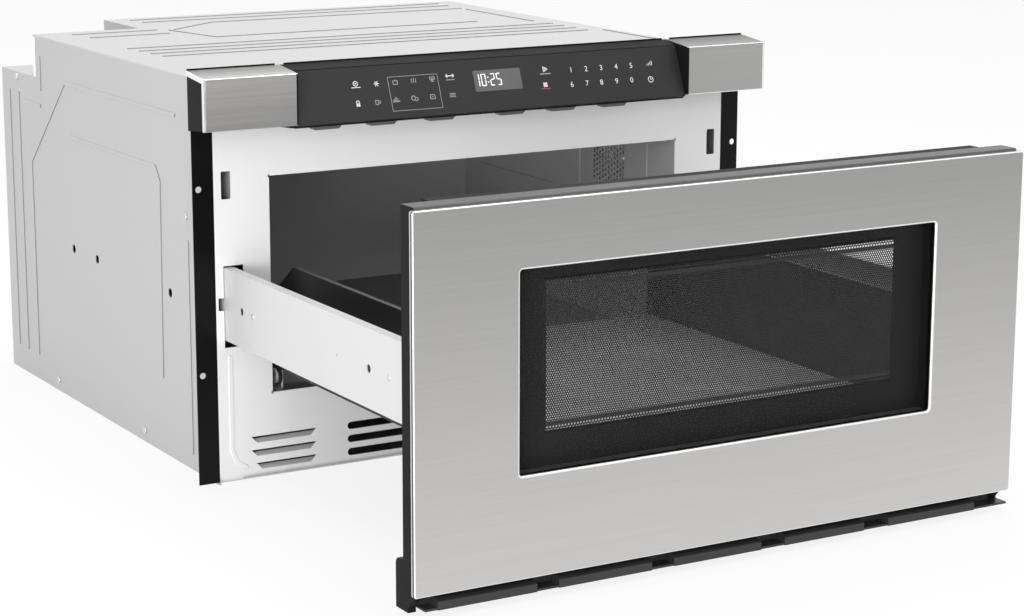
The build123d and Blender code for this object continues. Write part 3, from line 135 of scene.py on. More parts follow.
# How far a surface lies flat to the sheet: 0 on the slopes of ribs, lips and vanes, 1 on the flat faces.
def flatness(tree, slope, flat, unshadedZone=None, tilt=(0.65, 0.75)):
    normal = addNode(tree, "NewGeometry").outputs["True Normal"]
    parts = addNode(tree, "SeparateXYZ", {"Vector": normal}).outputs
    sideways, lengthways, upward = [calc(tree, "ABSOLUTE", part) for part in parts]
    most = calc(tree, "MAXIMUM", calc(tree, "MAXIMUM", sideways, lengthways), upward)
    level = spread(tree, most, 0, 1, slope, flat)
    if unshadedZone is None:
        return level
    # Beyond a half width, the upper bend and what faces up or down enough stay free of painted shade.
    halfWidth, height = unshadedZone
    place = addNode(tree, "SeparateXYZ", {"Vector": objectPoint(tree)}).outputs
    across = calc(tree, "ABSOLUTE", place["X"])
    beyond = spread(tree, across, 0, 1, halfWidth - blend["across"], halfWidth)
    upper = spread(tree, place["Z"], 0, 1, height - blend["up"], height)
    tilted = spread(tree, upward, 0, 1, *tilt)
    kept = calc(tree, "MINIMUM", beyond, calc(tree, "MAXIMUM", upper, tilted))
    return calc(tree, "MAXIMUM", level, kept)


# Painted or coated sheet: a slight orange peel, a little unevenness in the gloss, and painted shade darkening
# its slopes.
def paintedSheet(name, colour, rough=0.4, peel=0.000004, grain=700, change=0.03, specular=0.5, metallic=0.0,
                 slopeShade=0.0, slopes=(0.9, 0.995), unshadedZone=None, floorShade=1.0):
    mat, tree, shader = newMaterial(name)
    point = objectPoint(tree)
    broad = noise(tree, point, 9, 4)
    dark, light = around(colour, change)
    tone = shade(tree, spread(tree, broad, 0, 1), dark, light)
    # The slopes of ribs, lips and vanes are painted darker: painted shade standing in for how they are
    # shaded.
    if slopeShade:
        slopeShadeTone = [c * (1 - slopeShade) for c in colour]
        tone = shade(tree, flatness(tree, *slopes, unshadedZone), slopeShadeTone, tone)
    # Faces that look up are painted darker: painted shade on the cavity floor.
    if floorShade < 1:
        normal = addNode(tree, "NewGeometry").outputs["True Normal"]
        upward = addNode(tree, "SeparateXYZ", {"Vector": normal}).outputs["Z"]
        tone = shade(tree, spread(tree, upward, 0, 1, 0.6, 0.9), tone, [c * floorShade for c in colour])
    tree.links.new(tone, shader.inputs["Base Color"])
    tree.links.new(spread(tree, broad, rough - 0.05, rough + 0.05), shader.inputs["Roughness"])
    bump(tree, shader, noise(tree, point, grain, 2), peel)
    setAll(shader, {"Metallic": metallic, "Specular IOR Level": specular})
    return mat


# Steel brushed in straight lines along X, from a lower to an upper tone over a height; that change of tone is
# painted light and shade.
def brushedSteel(name, low, high, rough=0.32, change=0.03, heights=(0.0, 1.0)):
    mat, tree, shader = newMaterial(name)
    fine = noise(tree, objectPoint(tree, (14, 2600, 2600)), 1, 2, 0.6)
    streak = noise(tree, objectPoint(tree, (3, 330, 330)), 1, 3)
    cloud = noise(tree, objectPoint(tree, (5, 9, 9)), 1, 2)
    level = calc(tree, "MULTIPLY", calc(tree, "ADD", fine, streak), 0.5)
    height = addNode(tree, "SeparateXYZ", {"Vector": objectPoint(tree)}).outputs["Z"]
    rise = spread(tree, height, 0, 1, *heights)
    darkLow, lightLow = around(low, change)
    darkHigh, lightHigh = around(high, change)
    grain = spread(tree, level, 0, 1, 0.35, 0.65)
    tone = shade(tree, rise, shade(tree, grain, darkLow, lightLow), shade(tree, grain, darkHigh, lightHigh))
    tree.links.new(tone, shader.inputs["Base Color"])
    tree.links.new(spread(tree, cloud, rough - 0.04, rough + 0.04), shader.inputs["Roughness"])
    bump(tree, shader, fine, 0.000003)
    setAll(shader, {"Metallic": 1.0})
    return mat


# A bend painted lighter than the brushed faces beside it, a painted highlight, and smoother.
def highlightBend(name, colour=(0.95, 0.95, 0.94), rough=0.34):
    mat, tree, shader = newMaterial(name)
    point = objectPoint(tree)
    cloud = noise(tree, point, 25, 2)
    dark, light = around(colour, 0.02)
    tree.links.new(shade(tree, spread(tree, cloud, 0, 1), dark, light), shader.inputs["Base Color"])
    tree.links.new(spread(tree, cloud, rough - 0.05, rough + 0.05), shader.inputs["Roughness"])
    bump(tree, shader, noise(tree, point, 900, 1), 0.000001)
    setAll(shader, {"Metallic": 1.0})
    return mat


# Zinc coated sheet with its faint spangle.
def zincSheet(name, colour=(0.56, 0.57, 0.58), rough=0.42, cell=55, metallic=0.9):
    mat, tree, shader = newMaterial(name)
    point = objectPoint(tree)
    cells = addNode(tree, "TexVoronoi", {"Vector": point, "Scale": cell, "Randomness": 1.0})
    tone = addNode(tree, "SeparateColor", {"Color": cells.outputs["Color"]}).outputs[0]
    dark, light = around(colour, 0.06)
    tree.links.new(shade(tree, tone, dark, light), shader.inputs["Base Color"])
    tree.links.new(spread(tree, tone, rough - 0.07, rough + 0.07, 0, 1), shader.inputs["Roughness"])
    bump(tree, shader, noise(tree, point, 700, 2), 0.000005)
    setAll(shader, {"Metallic": metallic})
    return mat


# Moulded plastic with a fine spark-eroded texture.
def mouldedPlastic(name, colour, rough=0.5, grain=1600, depth=0.00001, change=0.06, specular=0.5, glow=0.0):
    mat, tree, shader = newMaterial(name)
    point = objectPoint(tree)
    broad = noise(tree, point, 14, 3)
    dark, light = around(colour, change)
    tree.links.new(shade(tree, spread(tree, broad, 0, 1), dark, light), shader.inputs["Base Color"])
    tree.links.new(spread(tree, broad, rough - 0.04, rough + 0.06), shader.inputs["Roughness"])
    bump(tree, shader, noise(tree, point, grain, 2), depth)
    setAll(shader, {"Specular IOR Level": specular, "Emission Color": (1, 1, 1, 1),
                    "Emission Strength": glow})
    return mat


# Wound or pressed metal with parallel lines across Z.
def linedMetal(name, colour, pitch, rough=0.35, metallic=1.0, depth=0.00012):
    mat, tree, shader = newMaterial(name)
    coord = addNode(tree, "TexCoord").outputs["Object"]
    wave = addNode(tree, "TexWave", {"Vector": coord, "Scale": 0.5 / pitch / math.pi, "Distortion": 0.3},
                   bands_direction="Z")
    dark, light = around(colour, 0.25)
    tree.links.new(shade(tree, wave.outputs["Fac"], dark, light), shader.inputs["Base Color"])
    cloud = noise(tree, coord, 60)
    tree.links.new(spread(tree, cloud, rough - 0.06, rough + 0.08), shader.inputs["Roughness"])
    bump(tree, shader, wave.outputs["Fac"], depth)
    setAll(shader, {"Metallic": metallic})
    return mat


# Clear pane: it lets the view through and reflects a little more at its edges.
def clearPane(name, tint=(0.965, 0.965, 0.965), ior=1.05, rough=0.0):
    mat, tree, shader = newMaterial(name)
    tree.nodes.remove(shader)
    point = objectPoint(tree)
    smear = spread(tree, noise(tree, point, 20, 2), rough - 0.02, rough + 0.03)
    through = addNode(tree, "BsdfTransparent", {"Color": (*tint, 1)})
    gloss = addNode(tree, "BsdfAnisotropic", {"Color": (1, 1, 1, 1), "Roughness": smear})
    edge = addNode(tree, "Fresnel", {"IOR": ior})
    ripple = addNode(tree, "Bump", {"Height": noise(tree, point, 7, 1), "Distance": 0.00001})
    tree.links.new(ripple.outputs["Normal"], gloss.inputs["Normal"])
    mix = addNode(tree, "MixShader", {0: edge.outputs[0], 1: through.outputs[0], 2: gloss.outputs[0]})
    tree.links.new(mix.outputs[0], tree.nodes["Material Output"].inputs["Surface"])
    return mat


finishes = {
    # The case's ribs and the front plate's louvres and grooves take painted shade on their slopes.
    "case_paint": paintedSheet("casePaint", (0.50, 0.493, 0.493), 0.42, change=0.012, slopeShade=0.6,
                               unshadedZone=(0.274, 0.3735)),
    "zinc_sheet": zincSheet("zincSheet"),
    "front_paint": paintedSheet("frontPaint", (0.92, 0.92, 0.92), 0.33, change=0.008, slopeShade=0.45,
                                slopes=(0.78, 0.97), unshadedZone=(0.255, 0.0)),
    "flange_paint": paintedSheet("flangePaint", (0.005, 0.005, 0.0055), 0.3, change=0.2, specular=0.12),
    # The liner's floor is painted darker than its walls: painted shade.
    "liner_enamel": paintedSheet("linerEnamel", (0.54, 0.54, 0.542), 0.36, change=0.03, specular=0.3,
                                 floorShade=0.4),
    # The door skin's steel is painted darker towards the top: painted shade.
    "stainless": brushedSteel("stainlessBrushed", (0.60, 0.593, 0.584), (0.355, 0.352, 0.346),
                              heights=(0.02, 0.33)),
    "black_plastic": mouldedPlastic("blackPlastic", (0.012, 0.012, 0.0125), 0.55, specular=0.08),
    "control_glass": mouldedPlastic("controlGlass", (0.032, 0.032, 0.033), 0.42, 60, 0.000004, specular=0.2),
    "window_glass": clearPane("windowGlass"),
    "screen_steel": paintedSheet("screenEnamel", (0.017, 0.017, 0.0172), 0.5, change=0.08, specular=0.1),
    "basket_plastic": mouldedPlastic("basketPlastic", (0.010, 0.010, 0.0105), 0.34, 900, 0.000006,
                                     specular=0.4),
    "tray_glass": mouldedPlastic("trayCeramic", (0.50, 0.503, 0.505), 0.25, 500, 0.000003),
    "rail_paint": paintedSheet("railPaint", (0.63, 0.63, 0.63), 0.36, change=0.01),
    # The slide steel is made near black so that the rail's holes read as shade: painted shade.
    "slide_steel": zincSheet("slideZinc", (0.02, 0.02, 0.021), 0.5, 90, metallic=0.2),
    "gear_plastic": mouldedPlastic("acetal", (0.66, 0.64, 0.60), 0.4),
    "roller_plastic": mouldedPlastic("rollerPlastic", (0.55, 0.55, 0.55), 0.45),
    "core_iron": linedMetal("laminations", (0.10, 0.10, 0.11), 0.0009, 0.5, 0.6),
    "winding_copper": linedMetal("windingWire", (0.42, 0.16, 0.06), 0.0012, 0.3, 0.8, 0.0004),
    "motor_steel": zincSheet("motorSteel", (0.48, 0.48, 0.49), 0.35, 120),
    "magnetron_metal": zincSheet("magnetronPlate", (0.66, 0.67, 0.68), 0.32, 80),
    "board_laminate": mouldedPlastic("boardLaminate", (0.03, 0.14, 0.06), 0.4, 2500, 0.00001, 0.15),
    "capacitor_can": zincSheet("capacitorCan", (0.7, 0.7, 0.72), 0.3, 70),
    "fan_plastic": mouldedPlastic("fanPlastic", (0.22, 0.22, 0.24), 0.5),
    "switch_plastic": mouldedPlastic("switchPlastic", (0.45, 0.45, 0.45), 0.4),
    "cover_mica": mouldedPlastic("micaSheet", (0.50, 0.47, 0.41), 0.55, 300, 0.00006, 0.12),
    "seal_rubber": mouldedPlastic("foamSeal", (0.008, 0.008, 0.008), 0.85, 700, 0.00005, specular=0.1),
    "lamp_shade": zincSheet("lampShade", (0.72, 0.72, 0.7), 0.3, 60),
    "screw_steel": zincSheet("screwZinc", (0.72, 0.72, 0.73), 0.3, 300),
}
for node, slotName in slotOf.items():
    mesh = nodes[node].data
    mesh.materials.clear()
    mesh.materials.append(finishes[slotName])
# Bright steel for bends, rims and folds: a painted highlight.
highlightSteel = highlightBend("stainlessBend")
# Dark plastic for painted shade lines on the caps' steel.
seamShade = mouldedPlastic("seamShadow", (0.012, 0.012, 0.012), 0.7, specular=0.05)
# Darker copy of the door steel for the skin's folds: painted shade.
foldShadeSteel = brushedSteel("foldBrushed", (0.10, 0.10, 0.10), (0.16, 0.16, 0.16), 0.4, 0.05, (0.02, 0.33))
fieldEnamel = paintedSheet("screenField", (0.038, 0.038, 0.0385), 0.5, change=0.05, specular=0.1)
tabPlastic = mouldedPlastic("tabPlastic", (0.13, 0.13, 0.131), 0.5, specular=0.2)
trimPlastic = mouldedPlastic("trimPlastic", (0.032, 0.032, 0.033), 0.36, specular=0.35)
# Black plastic painted lighter on faces that look up: painted light from above.
paintedTopLight = mouldedPlastic("topPaintedLight", (0.10, 0.10, 0.101), 0.4, specular=0.2)
# Cap steel: the left cap takes a lighter copy than the right, and each cap's top face a darker tone than its
# front: painted light and shade.
capSteel = {-1: brushedSteel("capBrushedLeft", (0.60, 0.59, 0.585), (0.27, 0.266, 0.262), 0.42, 0.09,
                             (0.383, 0.387)),
            1: brushedSteel("capBrushedRight", (0.40, 0.397, 0.39), (0.21, 0.208, 0.204), 0.42, 0.03,
                            (0.383, 0.387))}
print("finishes on", len(nodes), "nodes")

# Camera, lamps and floor
lens = {"focal": 90.0, "sensor": 36.0, "place": (-1.20369, -2.38924, 0.66990),
        "heading": 30.42, "tilt": -12.34, "roll": 0.11}


def makeCamera():
    heading, tilt, roll = (math.radians(lens[key]) for key in ("heading", "tilt", "roll"))
    ahead = Vector((math.sin(heading) * math.cos(tilt), math.cos(heading) * math.cos(tilt), math.sin(tilt)))
    right = Vector((math.cos(heading), -math.sin(heading), 0))
    up = right.cross(ahead)
    turned = right * math.cos(roll) + up * math.sin(roll)
    up = up * math.cos(roll) - right * math.sin(roll)
    data = bpy.data.cameras.new("photoCamera")
    data.lens = lens["focal"]
    data.sensor_width = lens["sensor"]
    data.clip_start = 0.05
    camera = bpy.data.objects.new("photoCamera", data)
    bpy.context.scene.collection.objects.link(camera)
    camera.matrix_world = Matrix((
        (turned.x, up.x, -ahead.x, lens["place"][0]),
        (turned.y, up.y, -ahead.y, lens["place"][1]),
        (turned.z, up.z, -ahead.z, lens["place"][2]),
        (0, 0, 0, 1)))
    bpy.context.scene.camera = camera


studio = {
    "world": 0.78,
    "lamps": [
        {"name": "topLamp", "place": (0.3, 0.0, 2.6), "aim": (0, -0.1, 0.2), "size": (3.0, 2.2),
         "power": 45},
        {"name": "frontLamp", "place": (-1.9, -2.9, 1.2), "aim": (0, -0.3, 0.15), "size": (2.4, 1.6),
         "power": 12},
        {"name": "lowLamp", "place": (-1.5, -1.75, 0.24), "aim": (-0.1, -0.28, 0.1), "size": (0.9, 0.4),
         "power": 14},
    ],
    "floor": 6.0, "floorColour": 0.88, "floorGlow": 0.85,
}


# 1 where the camera sees a surface itself, mirrored or through glass, and 0 where it only lights others.
def seenDirectly(tree):
    path = addNode(tree, "LightPath")
    both = calc(tree, "MAXIMUM", path.outputs["Is Camera Ray"], path.outputs["Is Glossy Ray"])
    return calc(tree, "MAXIMUM", both, path.outputs["Is Transmission Ray"])


def makeStudio():
    scene = bpy.context.scene
    scene.view_settings.view_transform = "Standard"
    world = bpy.data.worlds.new("studioWorld")
    world.use_nodes = True
    scene.world = world
    tree = world.node_tree
    back = tree.nodes["Background"]
    back.inputs["Color"].default_value = (1, 1, 1, 1)
    level = addNode(tree, "MapRange", {"Value": seenDirectly(tree), "To Min": studio["world"], "To Max": 1.0})
    tree.links.new(level.outputs["Result"], back.inputs["Strength"])
    for lamp in studio["lamps"]:
        data = bpy.data.lights.new(lamp["name"], "AREA")
        data.shape = "RECTANGLE"
        data.size, data.size_y = lamp["size"]
        data.energy = lamp["power"]
        made = bpy.data.objects.new(lamp["name"], data)
        scene.collection.objects.link(made)
        made.location = lamp["place"]
        ahead = Vector(lamp["aim"]) - Vector(lamp["place"])
        made.rotation_euler = ahead.to_track_quat("-Z", "Y").to_euler()
    bm = bmesh.new()
    bmesh.ops.create_grid(bm, x_segments=1, y_segments=1, size=studio["floor"])
    mesh = bpy.data.meshes.new("studioFloor")
    bm.to_mesh(mesh)
    bm.free()
    floor = bpy.data.objects.new("studioFloor", mesh)
    scene.collection.objects.link(floor)
    mat = bpy.data.materials.new("floorPaper")
    mat.use_nodes = True
    tree = mat.node_tree
    tree.nodes.clear()
    out = addNode(tree, "OutputMaterial")
    paper = addNode(tree, "BsdfDiffuse", {"Color": (*[studio["floorColour"]] * 3, 1)})
    glow = addNode(tree, "Emission", {"Color": (1, 1, 1, 1), "Strength": 1.0})
    share = calc(tree, "MULTIPLY", seenDirectly(tree), studio["floorGlow"])
    mix = addNode(tree, "MixShader", {0: share, 1: paper.outputs[0], 2: glow.outputs[0]})
    tree.links.new(mix.outputs[0], out.inputs["Surface"])
    mesh.materials.append(mat)


makeCamera()
makeStudio()
print("camera and studio made")


# Shared modelling steps
def makePiece(bm, name, body, mats, replaced=(), sharp=35):
    mesh = bpy.data.meshes.new(name)
    bm.to_mesh(mesh)
    bm.free()
    for mat in mats:
        mesh.materials.append(mat)
    mesh.shade_smooth()
    mesh.set_sharp_from_angle(angle=math.radians(sharp))
    piece = bpy.data.objects.new(name, mesh)
    bpy.context.scene.collection.objects.link(piece)
    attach(piece, body)
    if replaced:
        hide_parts(*replaced)
    return piece


def addModifier(piece, kind, name, **settings):
    made = piece.modifiers.new(name, kind)
    for key, value in settings.items():
        setattr(made, key, value)


def softEdges(piece, width, segments=2, angle=40):
    addModifier(piece, "BEVEL", "softEdges", width=width, segments=segments, limit_method="ANGLE",
                angle_limit=math.radians(angle), harden_normals=True, miter_outer="MITER_ARC")


def evenShading(piece):
    addModifier(piece, "WEIGHTED_NORMAL", "evenShading", keep_sharp=True)


# The largest face decides which way an open sheet faces.
def faceTowards(bm, direction):
    bmesh.ops.recalc_face_normals(bm, faces=bm.faces[:])
    widest = max(bm.faces, key=lambda face: face.calc_area())
    if widest.normal.dot(Vector(direction)) < 0:
        bmesh.ops.reverse_faces(bm, faces=bm.faces[:])


# Faces that meet within this angle, in degrees, become one before edges are softened.
flatAngle = 0.6


# A copy of a CAD node with its edges softened.
def softened(node, width, segments):
    bm = bmesh.new()
    bm.from_mesh(nodes[node].data)
    bmesh.ops.remove_doubles(bm, verts=bm.verts[:], dist=samePoint)
    bmesh.ops.dissolve_limit(bm, angle_limit=math.radians(flatAngle), verts=bm.verts[:], edges=bm.edges[:])
    slotName = slotOf[node]
    piece = makePiece(bm, node + ".soft", bodyOf[node], [finishes[slotName]], [node])
    softEdges(piece, width, segments)


# A flat frame that stands in XZ at a depth; returns the edges round its outside and round its opening.
def addFrame(bm, x, z, y, openX, openZ):
    stand = Matrix.Translation((0, y, 0)) @ Matrix.Rotation(math.pi / 2, 4, "X")
    made = bmesh.ops.create_grid(bm, x_segments=3, y_segments=3, size=0.5, matrix=stand)["verts"]
    across, up = sorted((x[0], x[1], *openX)), sorted((z[0], z[1], *openZ))
    for vert in made:
        vert.co.x = across[round((vert.co.x + 0.5) * 3)]
        vert.co.z = up[round((vert.co.z + 0.5) * 3)]
    faces = {face for vert in made for face in vert.link_faces}
    middle = max(faces, key=lambda face: sum(len(edge.link_faces) for edge in face.edges))
    inner = middle.edges[:]
    outer = [edge for face in faces for edge in face.edges if len(edge.link_faces) == 1]
    bmesh.ops.delete(bm, geom=[middle], context="FACES_ONLY")
    return outer, inner


# Carries a loop of edges on by a step, and inwards by a margin; returns the new loop.
def carryOn(bm, edges, step, inwards=0.0):
    made = bmesh.ops.extrude_edge_only(bm, edges=edges)["geom"]
    verts = [part for part in made if isinstance(part, bmesh.types.BMVert)]
    bmesh.ops.translate(bm, vec=step, verts=verts)
    middle = sum((vert.co for vert in verts), Vector()) / len(verts)
    for vert in verts:
        vert.co.x -= math.copysign(inwards, vert.co.x - middle.x)
        vert.co.z -= math.copysign(inwards, vert.co.z - middle.z)
    held = set(verts)
    return list({edge for vert in verts for edge in vert.link_edges if held.issuperset(edge.verts)})


def roundEdges(bm, edges, offset, segments=3, material=-1):
    bmesh.ops.bevel(bm, geom=edges, offset=offset, offset_type="OFFSET", segments=segments, profile=0.5,
                    affect="EDGES", material=material)


# Cuts faces along a plane and keeps what lies on both sides.
def cutFaces(bm, faces, point, normal):
    edges = list({edge for face in faces for edge in face.edges})
    verts = list({vert for face in faces for vert in face.verts})
    bmesh.ops.bisect_plane(bm, geom=faces + edges + verts, dist=finePoint, plane_co=point, plane_no=normal)


# A plate with thickness: its rectangle in the plane of a matrix, its back on that plane.
def addPlate(bm, place, x, y, thickness, radius=0.0, steps=3):
    known = set(bm.faces)
    box = Matrix.Translation(((x[0] + x[1]) / 2, (y[0] + y[1]) / 2, 0))
    box = place @ box @ Matrix.Diagonal((x[1] - x[0], y[1] - y[0], 1, 1))
    made = bmesh.ops.create_grid(bm, x_segments=1, y_segments=1, size=0.5, matrix=box)
    if radius:
        bmesh.ops.bevel(bm, geom=made["verts"], offset=radius, offset_type="OFFSET", segments=steps,
                        profile=0.5, affect="VERTICES", material=-1)
    raiseFaces(bm, [face for face in bm.faces if face not in known], place, thickness)


# Turns flat faces into a closed plate that stands up from their plane.
def raiseFaces(bm, faces, place, thickness):
    up = place.to_3x3() @ Vector((0, 0, thickness))
    raised = bmesh.ops.extrude_face_region(bm, geom=faces, use_keep_orig=True)["geom"]
    bmesh.ops.translate(bm, vec=up, verts=[part for part in raised if isinstance(part, bmesh.types.BMVert)])


def addBar(bm, place, start, end, width, thickness):
    start, end = Vector(start), Vector(end)
    along = (end - start).normalized()
    turn = Matrix.Translation((*start, 0)) @ Matrix.Rotation(math.atan2(along.y, along.x), 4, "Z")
    length = (end - start).length
    addPlate(bm, place @ turn, (0, length), (-width / 2, width / 2), thickness)


def addRing(bm, place, centre, radius, width, thickness, segments=20):
    known = set(bm.faces)
    spot = place @ Matrix.Translation((*centre, 0))
    rims = [bmesh.ops.create_circle(bm, segments=segments, radius=size, matrix=spot)["verts"]
            for size in (radius - width / 2, radius + width / 2)]
    edges = {edge for rim in rims for vert in rim for edge in vert.link_edges}
    bmesh.ops.bridge_loops(bm, edges=list(edges))
    raiseFaces(bm, [face for face in bm.faces if face not in known], place, thickness)


def addDisc(bm, place, centre, radius, thickness, segments=12):
    known = set(bm.faces)
    spot = place @ Matrix.Translation((*centre, 0))
    bmesh.ops.create_circle(bm, cap_ends=True, segments=segments, radius=radius, matrix=spot)
    raiseFaces(bm, [face for face in bm.faces if face not in known], place, thickness)


def closeUp(bm):
    bmesh.ops.remove_doubles(bm, verts=bm.verts[:], dist=finePoint)
    bmesh.ops.recalc_face_normals(bm, faces=bm.faces[:])


# Spins a list of (along, radius) points about an axis along X.
def spunPiece(bm, centre, outline, steps=32):
    verts = [bm.verts.new((centre[0] + along, centre[1], centre[2] + radius)) for along, radius in outline]
    edges = [bm.edges.new(pair) for pair in zip(verts, verts[1:])]
    bmesh.ops.spin(bm, geom=verts + edges, cent=centre, axis=(1, 0, 0), angle=2 * math.pi, steps=steps,
                   use_merge=True)


# Door skin: a ring of steel folded back all round and into the window
doorSkinSizes = {"fold": 5.0 * mm, "lip": 2.6 * mm, "steel": 0.8 * mm, "corner": 2.0 * mm,
                 "bend": 1.0 * mm, "hem": 1.5 * mm, "windowCorner": 2.5 * mm, "windowBend": 1.7 * mm,
                 "windowMargin": 5.0 * mm, "window": (207.5 * mm, 104.9 * mm, 272.0 * mm),
                 "shortestEdge": 0.1 * mm, "reachSlack": 0.01 * mm}
# Least angle, in radians, at which two faces meet in an edge that gets rounded.
sharpAngle = 1.0


def insideWindow(point):
    half, sill, head = doorSkinSizes["window"]
    margin = doorSkinSizes["windowMargin"]
    return abs(point.x) < half + margin and sill - margin < point.z < head + margin


def makeDoorSkin():
    size = doorSkinSizes
    low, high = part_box("door_skin")
    outerX, outerZ = (low.x, high.x), (low.z, high.z)
    half, sill, head = size["window"]
    bm = bmesh.new()
    outer, inner = addFrame(bm, outerX, outerZ, low.y, (-half, half), (sill, head))
    carryOn(bm, outer, (0, size["fold"], 0))
    carryOn(bm, inner, (0, size["lip"], 0))
    faceTowards(bm, (0, -1, 0))
    for reach, radius, bend in ((high.x, size["corner"], size["bend"]),
                                (half, size["windowCorner"], size["windowBend"])):
        corners = [edge for edge in bm.edges
                   if abs((edge.verts[0].co - edge.verts[1].co).y) > size["shortestEdge"]
                   and abs(abs(edge.verts[0].co.x) - reach) < size["reachSlack"]]
        roundEdges(bm, corners, radius, 5)
        rim = [edge for edge in bm.edges if len(edge.link_faces) == 2
               and all(abs(vert.co.y - low.y) < samePoint for vert in edge.verts)
               and edge.calc_face_angle(0) > sharpAngle
               and (insideWindow(edge.verts[0].co) == (reach == half))]
        roundEdges(bm, rim, bend, material=1)
    hem = low.y + size["fold"] - size["hem"]
    bmesh.ops.bisect_plane(bm, geom=bm.verts[:] + bm.edges[:] + bm.faces[:], dist=finePoint,
                           plane_co=(0, hem, 0), plane_no=(0, 1, 0))
    # Bends, the hem and the sheet's rim take the bright steel, a painted highlight; the folds back along the
    # sides and top take the darker copy, painted shade.
    for face in bm.faces:
        spot = face.calc_center_median()
        if face.normal.y < -deadFlat:
            face.material_index = 0
        elif spot.y > hem:
            face.material_index = 1
        elif spot.y > low.y + size["bend"] and not insideWindow(spot):
            face.material_index = 2
    skinFinishes = [finishes["stainless"], highlightSteel, foldShadeSteel]
    piece = makePiece(bm, "doorSkin", "drawer", skinFinishes, ["door_skin"])
    addModifier(piece, "SOLIDIFY", "steel", thickness=size["steel"], offset=-1, use_even_offset=True,
                material_offset_rim=1)
    evenShading(piece)


makeDoorSkin()
print("door skin made")

# End caps: steel folded over the bar's front and top and a little way round the side
capSizes = {"fold": 4.5 * mm, "steel": 0.8 * mm, "bend": 0.7 * mm, "corner": 1.2 * mm, "rim": 0.9 * mm,
            "joint": 1.5 * mm, "frontTop": 384.3 * mm, "backBottom": 333.0 * mm, "frontBottom": 337.3 * mm,
            "topRise": 0.102}


def makeCapSkin(node):
    size = capSizes
    low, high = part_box(node)
    outer = low.x if abs(low.x) > abs(high.x) else high.x
    side = int(math.copysign(1, outer))
    bm = bmesh.new()
    bmesh.ops.create_cube(bm, size=1.0, matrix=Matrix.Translation((low + high) / 2)
                          @ Matrix.Diagonal((*(high - low), 1)))
    for vert in bm.verts:
        front = vert.co.y < (low.y + high.y) / 2
        if vert.co.z > (low.z + high.z) / 2:
            vert.co.z = size["frontTop"] if front else high.z
        else:
            vert.co.z = size["frontBottom"] if front else size["backBottom"]
    bmesh.ops.recalc_face_normals(bm, faces=bm.faces[:])
    unseen = [face for face in bm.faces if face.normal.y > facing or face.normal.x * side < -facing]
    bmesh.ops.delete(bm, geom=unseen, context="FACES")
    # Rounded corners and bends take the bright steel, a painted highlight.
    corners = [edge for edge in bm.edges if len(edge.link_faces) == 2]
    upright = [edge for edge in corners if abs(edge.verts[0].co.z - edge.verts[1].co.z) > size["fold"]]
    roundEdges(bm, upright, size["corner"], 4, material=1)
    corners = [edge for edge in bm.edges
               if len(edge.link_faces) == 2 and edge.calc_face_angle(0) > sharpAngle]
    roundEdges(bm, corners, size["bend"], material=1)
    bm.normal_update()
    # The middle of the rounded corner between front and side is painted dark: a painted shade line.
    for face in bm.faces:
        if face.material_index == 1 and abs(face.normal.z) < 0.3 and 0.3 < face.normal.x * side < 0.8:
            face.material_index = 2
    # On the front face, a painted highlight runs down the outer end and painted shade down the inner one,
    # where the cap meets the panel.
    rim = abs(outer) - size["corner"] - size["rim"]
    joint = min(abs(low.x), abs(high.x)) + size["joint"]
    for reach in (rim, joint):
        frontFaces = [face for face in bm.faces if face.normal.y < -facing]
        cutFaces(bm, frontFaces, (side * reach, 0, 0), (1, 0, 0))
    for face in bm.faces:
        if face.normal.y < -facing:
            across = abs(face.calc_center_median().x)
            if across > rim:
                face.material_index = 1
            elif across < joint:
                face.material_index = 2
    # The fold's inner edge follows the front and the sloping top.
    fold = low.y + size["fold"]
    foldTop = size["frontTop"] - size["fold"]
    for point, normal in (((0, fold, 0), (0, 1, 0)), ((0, low.y, foldTop), (0, -size["topRise"], 1))):
        cutFaces(bm, [face for face in bm.faces if face.normal.x * side > square], point, normal)
    cutFaces(bm, [face for face in bm.faces if face.normal.z < -facing], (0, fold, 0), (0, 1, 0))
    # Beyond the fold's inner edge the side is cut away; the side fold that stays takes the bright steel, a
    # painted highlight.
    gone = []
    for face in bm.faces:
        spot = face.calc_center_median()
        topLine = foldTop + size["topRise"] * (spot.y - low.y)
        if spot.y > fold and spot.z < topLine:
            gone.append(face)
        elif face.normal.x * side > facing:
            face.material_index = 1
    bmesh.ops.delete(bm, geom=gone, context="FACES")
    bmesh.ops.remove_doubles(bm, verts=bm.verts[:], dist=samePoint)
    faceTowards(bm, (0, -1, 0))
    piece = makePiece(bm, node + ".bent", "case", [capSteel[side], highlightSteel, seamShade], [node])
    addModifier(piece, "SOLIDIFY", "steel", thickness=size["steel"], offset=-1, use_even_offset=True)
    evenShading(piece)


for node in ("end_cap_skin_left", "end_cap_skin_right"):
    makeCapSkin(node)
print("end caps made")

# Screen: a sheet with its perforated field pressed forward
screenSizes = {"press": 1.0 * mm, "steel": 0.8 * mm, "field": (176.0 * mm, 133.3 * mm, 258.8 * mm),
               "border": 1.4 * mm, "pitch": 2.2 * mm, "hole": 0.8 * mm, "columns": 160, "rowPairs": 29,
               "sheet": 0.5 * mm, "sink": 0.15 * mm, "overlap": 0.05 * mm, "merge": 0.02 * mm,
               "soft": 0.25 * mm, "topPitch": 2.9 * mm, "topHole": 1.05 * mm, "topColumns": 121}


# One cell of a perforated sheet, a six-sided hole in a six-sided plate.
def addCell(bm, centre, pitch, hole):
    place = Matrix.Translation(centre) @ Matrix.Rotation(math.pi / 2, 4, "X")
    rims = [bmesh.ops.create_circle(bm, segments=6, radius=radius, matrix=place)["verts"]
            for radius in (hole, pitch / math.sqrt(3))]
    edges = {edge for rim in rims for vert in rim for edge in vert.link_edges}
    bmesh.ops.bridge_loops(bm, edges=list(edges))


